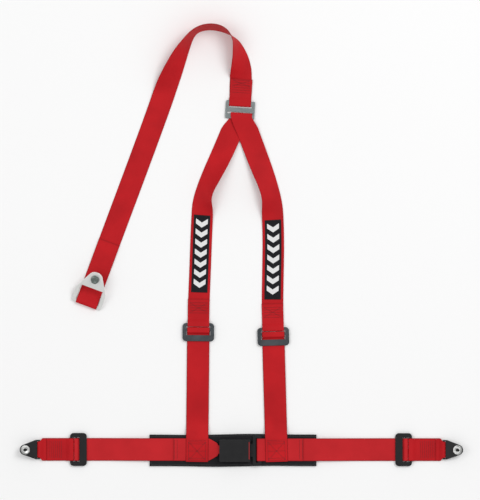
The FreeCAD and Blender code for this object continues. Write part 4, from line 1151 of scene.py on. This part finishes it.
def pad_point(x, share, face):
    """A point of the cover, on its top (face 1) or underside (-1), this share of the way across."""
    low, high = pad_edges(x)
    y = low + (high - low) * share
    rim = min(1.0, min(y - low, high - y, x + PAD_HALF_X, PAD_HALF_X - x) / 6.0)
    crown = math.sqrt(max(0.0, 1 - (1 - rim) ** 2))
    dimple = 0.15 * crown * noise.noise(Vector((x / 25.0, y / 18.0, face)))
    z = PAD_TOP / 2 + face * (1.1 + 1.75 * crown) + dimple
    return Vector((x, y, max(0.05, min(z, PAD_TOP - 0.02))))


def lap_pad():
    """Padded cover: crowned faces that thin to a bound edge, with a seam just inside it."""
    columns, across = 96, 22
    verts, faces = [], []
    for face in (1, -1):
        for i in range(columns + 1):
            x = -PAD_HALF_X + 2 * PAD_HALF_X * i / columns
            verts += [pad_point(x, j / across, face) for j in range(across + 1)]
    row = across + 1
    sheet = (columns + 1) * row
    for i in range(columns):
        for j in range(across):
            a = i * row + j
            faces.append((a, a + row, a + row + 1, a + 1))
            faces.append((sheet + a, sheet + a + 1, sheet + a + row + 1, sheet + a + row))
    rim = [i * row for i in range(columns + 1)]
    rim += [columns * row + j for j in range(1, row)]
    rim += [i * row + across for i in range(columns - 1, -1, -1)]
    rim += range(across - 1, 0, -1)
    for a, b in zip(rim, rim[1:] + rim[:1]):
        faces.append((a, sheet + a, sheet + b, b))
    pad = new_object("lap_pad_shell", verts, faces, PAD_CLOTH)
    tidy_normals(pad)
    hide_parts("lap_pad_cover", "lap_pad_foam")
    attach(pad, "harness")
    pad_seam()


def pad_seam():
    """Black thread just inside the pad's two long edges, and across its two ends."""
    inset, end, steps = 0.055, PAD_HALF_X - 4.0, 90
    up = Vector((0.0, 0.0, 1.0))
    runs = []
    for share in (inset, 1 - inset):
        runs.append([(pad_point(-end + 2 * end * k / steps, share, 1), up) for k in range(steps + 1)])
    # The belt covers the middle of each end, so these rows are short.
    for x in (-end, end):
        for low, high in ((inset, 0.13), (0.87, 1 - inset)):
            runs.append([(pad_point(x, low, 1), up), (pad_point(x, high, 1), up)])
    seam = stitch_points("lap_pad_seam", runs, PAD_THREAD)
    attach(seam, "harness")


# ---- labels


LABEL_HALF = 18.75
LABEL_LOW = 0.12
LABEL_THICK = 0.6
LABEL_EDGE_DROP = 0.25


def label(name, ribbon, start, end, node_name):
    """A woven label that follows its strap, with a plain chevron pattern and a sewn edge."""
    half, rings = LABEL_HALF, 44
    top = LABEL_LOW + LABEL_THICK
    verts = []
    for k in range(rings + 1):
        v = start + (end - start) * k / rings
        for u in (-half, -half * 0.97, 0.0, half * 0.97, half):
            upper = top if abs(u) < half else top - LABEL_EDGE_DROP
            verts += [ribbon.on_top(v, u, LABEL_LOW)[0], ribbon.on_top(v, u, upper)[0]]
    faces = tube_faces([0, 2, 4, 6, 8, 9, 7, 5, 3, 1], rings + 1)
    cloth = new_object(name, verts, faces, LABEL_CLOTH)
    tidy_normals(cloth)
    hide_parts(node_name)
    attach(cloth, "harness")
    chevrons(f"{name}_chevrons", ribbon, start, end, top)
    inset = 1.6
    low, high, side = start + inset, end - inset, half - inset
    corners = [(low, -side), (high, -side), (high, side), (low, side), (low, -side)]
    run = [ribbon.on_top(v, u, top) for v, u in dense(corners)]
    thread = stitch_points(f"{name}_stitches", [run], BLACK_THREAD)
    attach(thread, "harness")


def tidy_normals(obj):
    """Turns every face outwards."""
    mesh = bmesh.new()
    mesh.from_mesh(obj.data)
    bmesh.ops.recalc_face_normals(mesh, faces=mesh.faces)
    mesh.to_mesh(obj.data)
    mesh.free()


def chevrons(name, ribbon, start, end, base):
    """Seven raised white chevrons along a label."""
    count, margin = 7, 8.0
    arm, depth, bar = 13.5, 9.0, 11.5
    pitch = (end - start - 2 * margin) / count
    verts, faces = [], []
    for k in range(count):
        foot = start + margin + pitch * k
        for side in (-1, 1):
            outline = [
                (foot, side * arm),
                (foot + bar, side * arm),
                (foot + bar + depth, 0.0),
                (foot + depth, 0.0),
            ]
            first = len(verts)
            for lift in (base - 0.05, base + 0.18):
                verts += [ribbon.on_top(v, u, lift)[0] for v, u in outline]
            low = [first + i for i in range(4)]
            top = [first + 4 + i for i in range(4)]
            faces.append(tuple(top))
            faces.append(tuple(low[::-1]))
            for i in range(4):
                n = (i + 1) % 4
                faces.append((low[i], low[n], top[n], top[i]))
    marks = new_object(name, verts, faces, LABEL_WHITE, False)
    tidy_normals(marks)
    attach(marks, "harness")


# ---- stage


def floor():
    """A plain white floor under the harness."""
    size = 6.0
    mesh = bpy.data.meshes.new("stage_floor")
    corners = [(-size, -size, 0), (size, -size, 0), (size, size, 0), (-size, size, 0)]
    mesh.from_pydata(corners, [], [(0, 1, 2, 3)])
    obj = bpy.data.objects.new("stage_floor", mesh)
    bpy.context.scene.collection.objects.link(obj)
    inputs = {"Roughness": 0.9, "Base Color": (0.95, 0.95, 0.95, 1)}
    mesh.materials.append(node_material("floor_white", inputs)[0])


LIGHT_TARGET = (0.0, 0.45, 0.0)


def area_light(name, place, size, power):
    """A round soft light that faces the middle of the harness."""
    lamp = bpy.data.lights.new(name, "AREA")
    lamp.shape = "DISK"
    lamp.size = size
    lamp.energy = power
    obj = bpy.data.objects.new(name, lamp)
    obj.location = place
    obj.rotation_euler = (Vector(LIGHT_TARGET) - Vector(place)).to_track_quat("-Z", "Y").to_euler()
    bpy.context.scene.collection.objects.link(obj)


def lights():
    """A bright white surround, a key light and a weaker fill."""
    world = bpy.data.worlds.new("studio")
    world.use_nodes = True
    world.node_tree.nodes["Background"].inputs["Color"].default_value = (1, 1, 1, 1)
    world.node_tree.nodes["Background"].inputs["Strength"].default_value = 0.63
    bpy.context.scene.world = world
    area_light("key", (2.4, 2.3, 4.6), size=2.8, power=97.0)
    area_light("fill", (-3.0, 0.6, 4.4), size=3.2, power=45.0)


def camera():
    """Straight above, with a long lens, which is a guess at how the photo was taken."""
    data = bpy.data.cameras.new("camera")
    height = 8.0
    frame_height = 1.14
    middle = (0.016, 0.4565)
    data.sensor_width = 36.0
    data.lens = data.sensor_width * height / frame_height
    obj = bpy.data.objects.new("camera", data)
    obj.location = (*middle, height)
    data.clip_end = 50.0
    bpy.context.scene.collection.objects.link(obj)
    bpy.context.scene.camera = obj


# ---- build

lap_pad()
lap_straps()
end_straps()
chest_straps()
left_leg_line, right_leg_line = shoulder_strap()
rear_strap()

for side, line, x, low_y, high_y in (
    ("left", left_leg_line, -73.5, 357.0, 537.0),
    ("right", right_leg_line, 91.4, 346.0, 526.0),
):
    begin = line.nearest(Vector((x, high_y, PLY_ONE)))
    finish = line.nearest(Vector((x, low_y, PLY_ONE)))
    label(f"{side}_shoulder_patch", line, begin, finish, f"{side}_shoulder_label")

floor()
lights()
camera()
bpy.context.scene.view_settings.view_transform = "Standard"
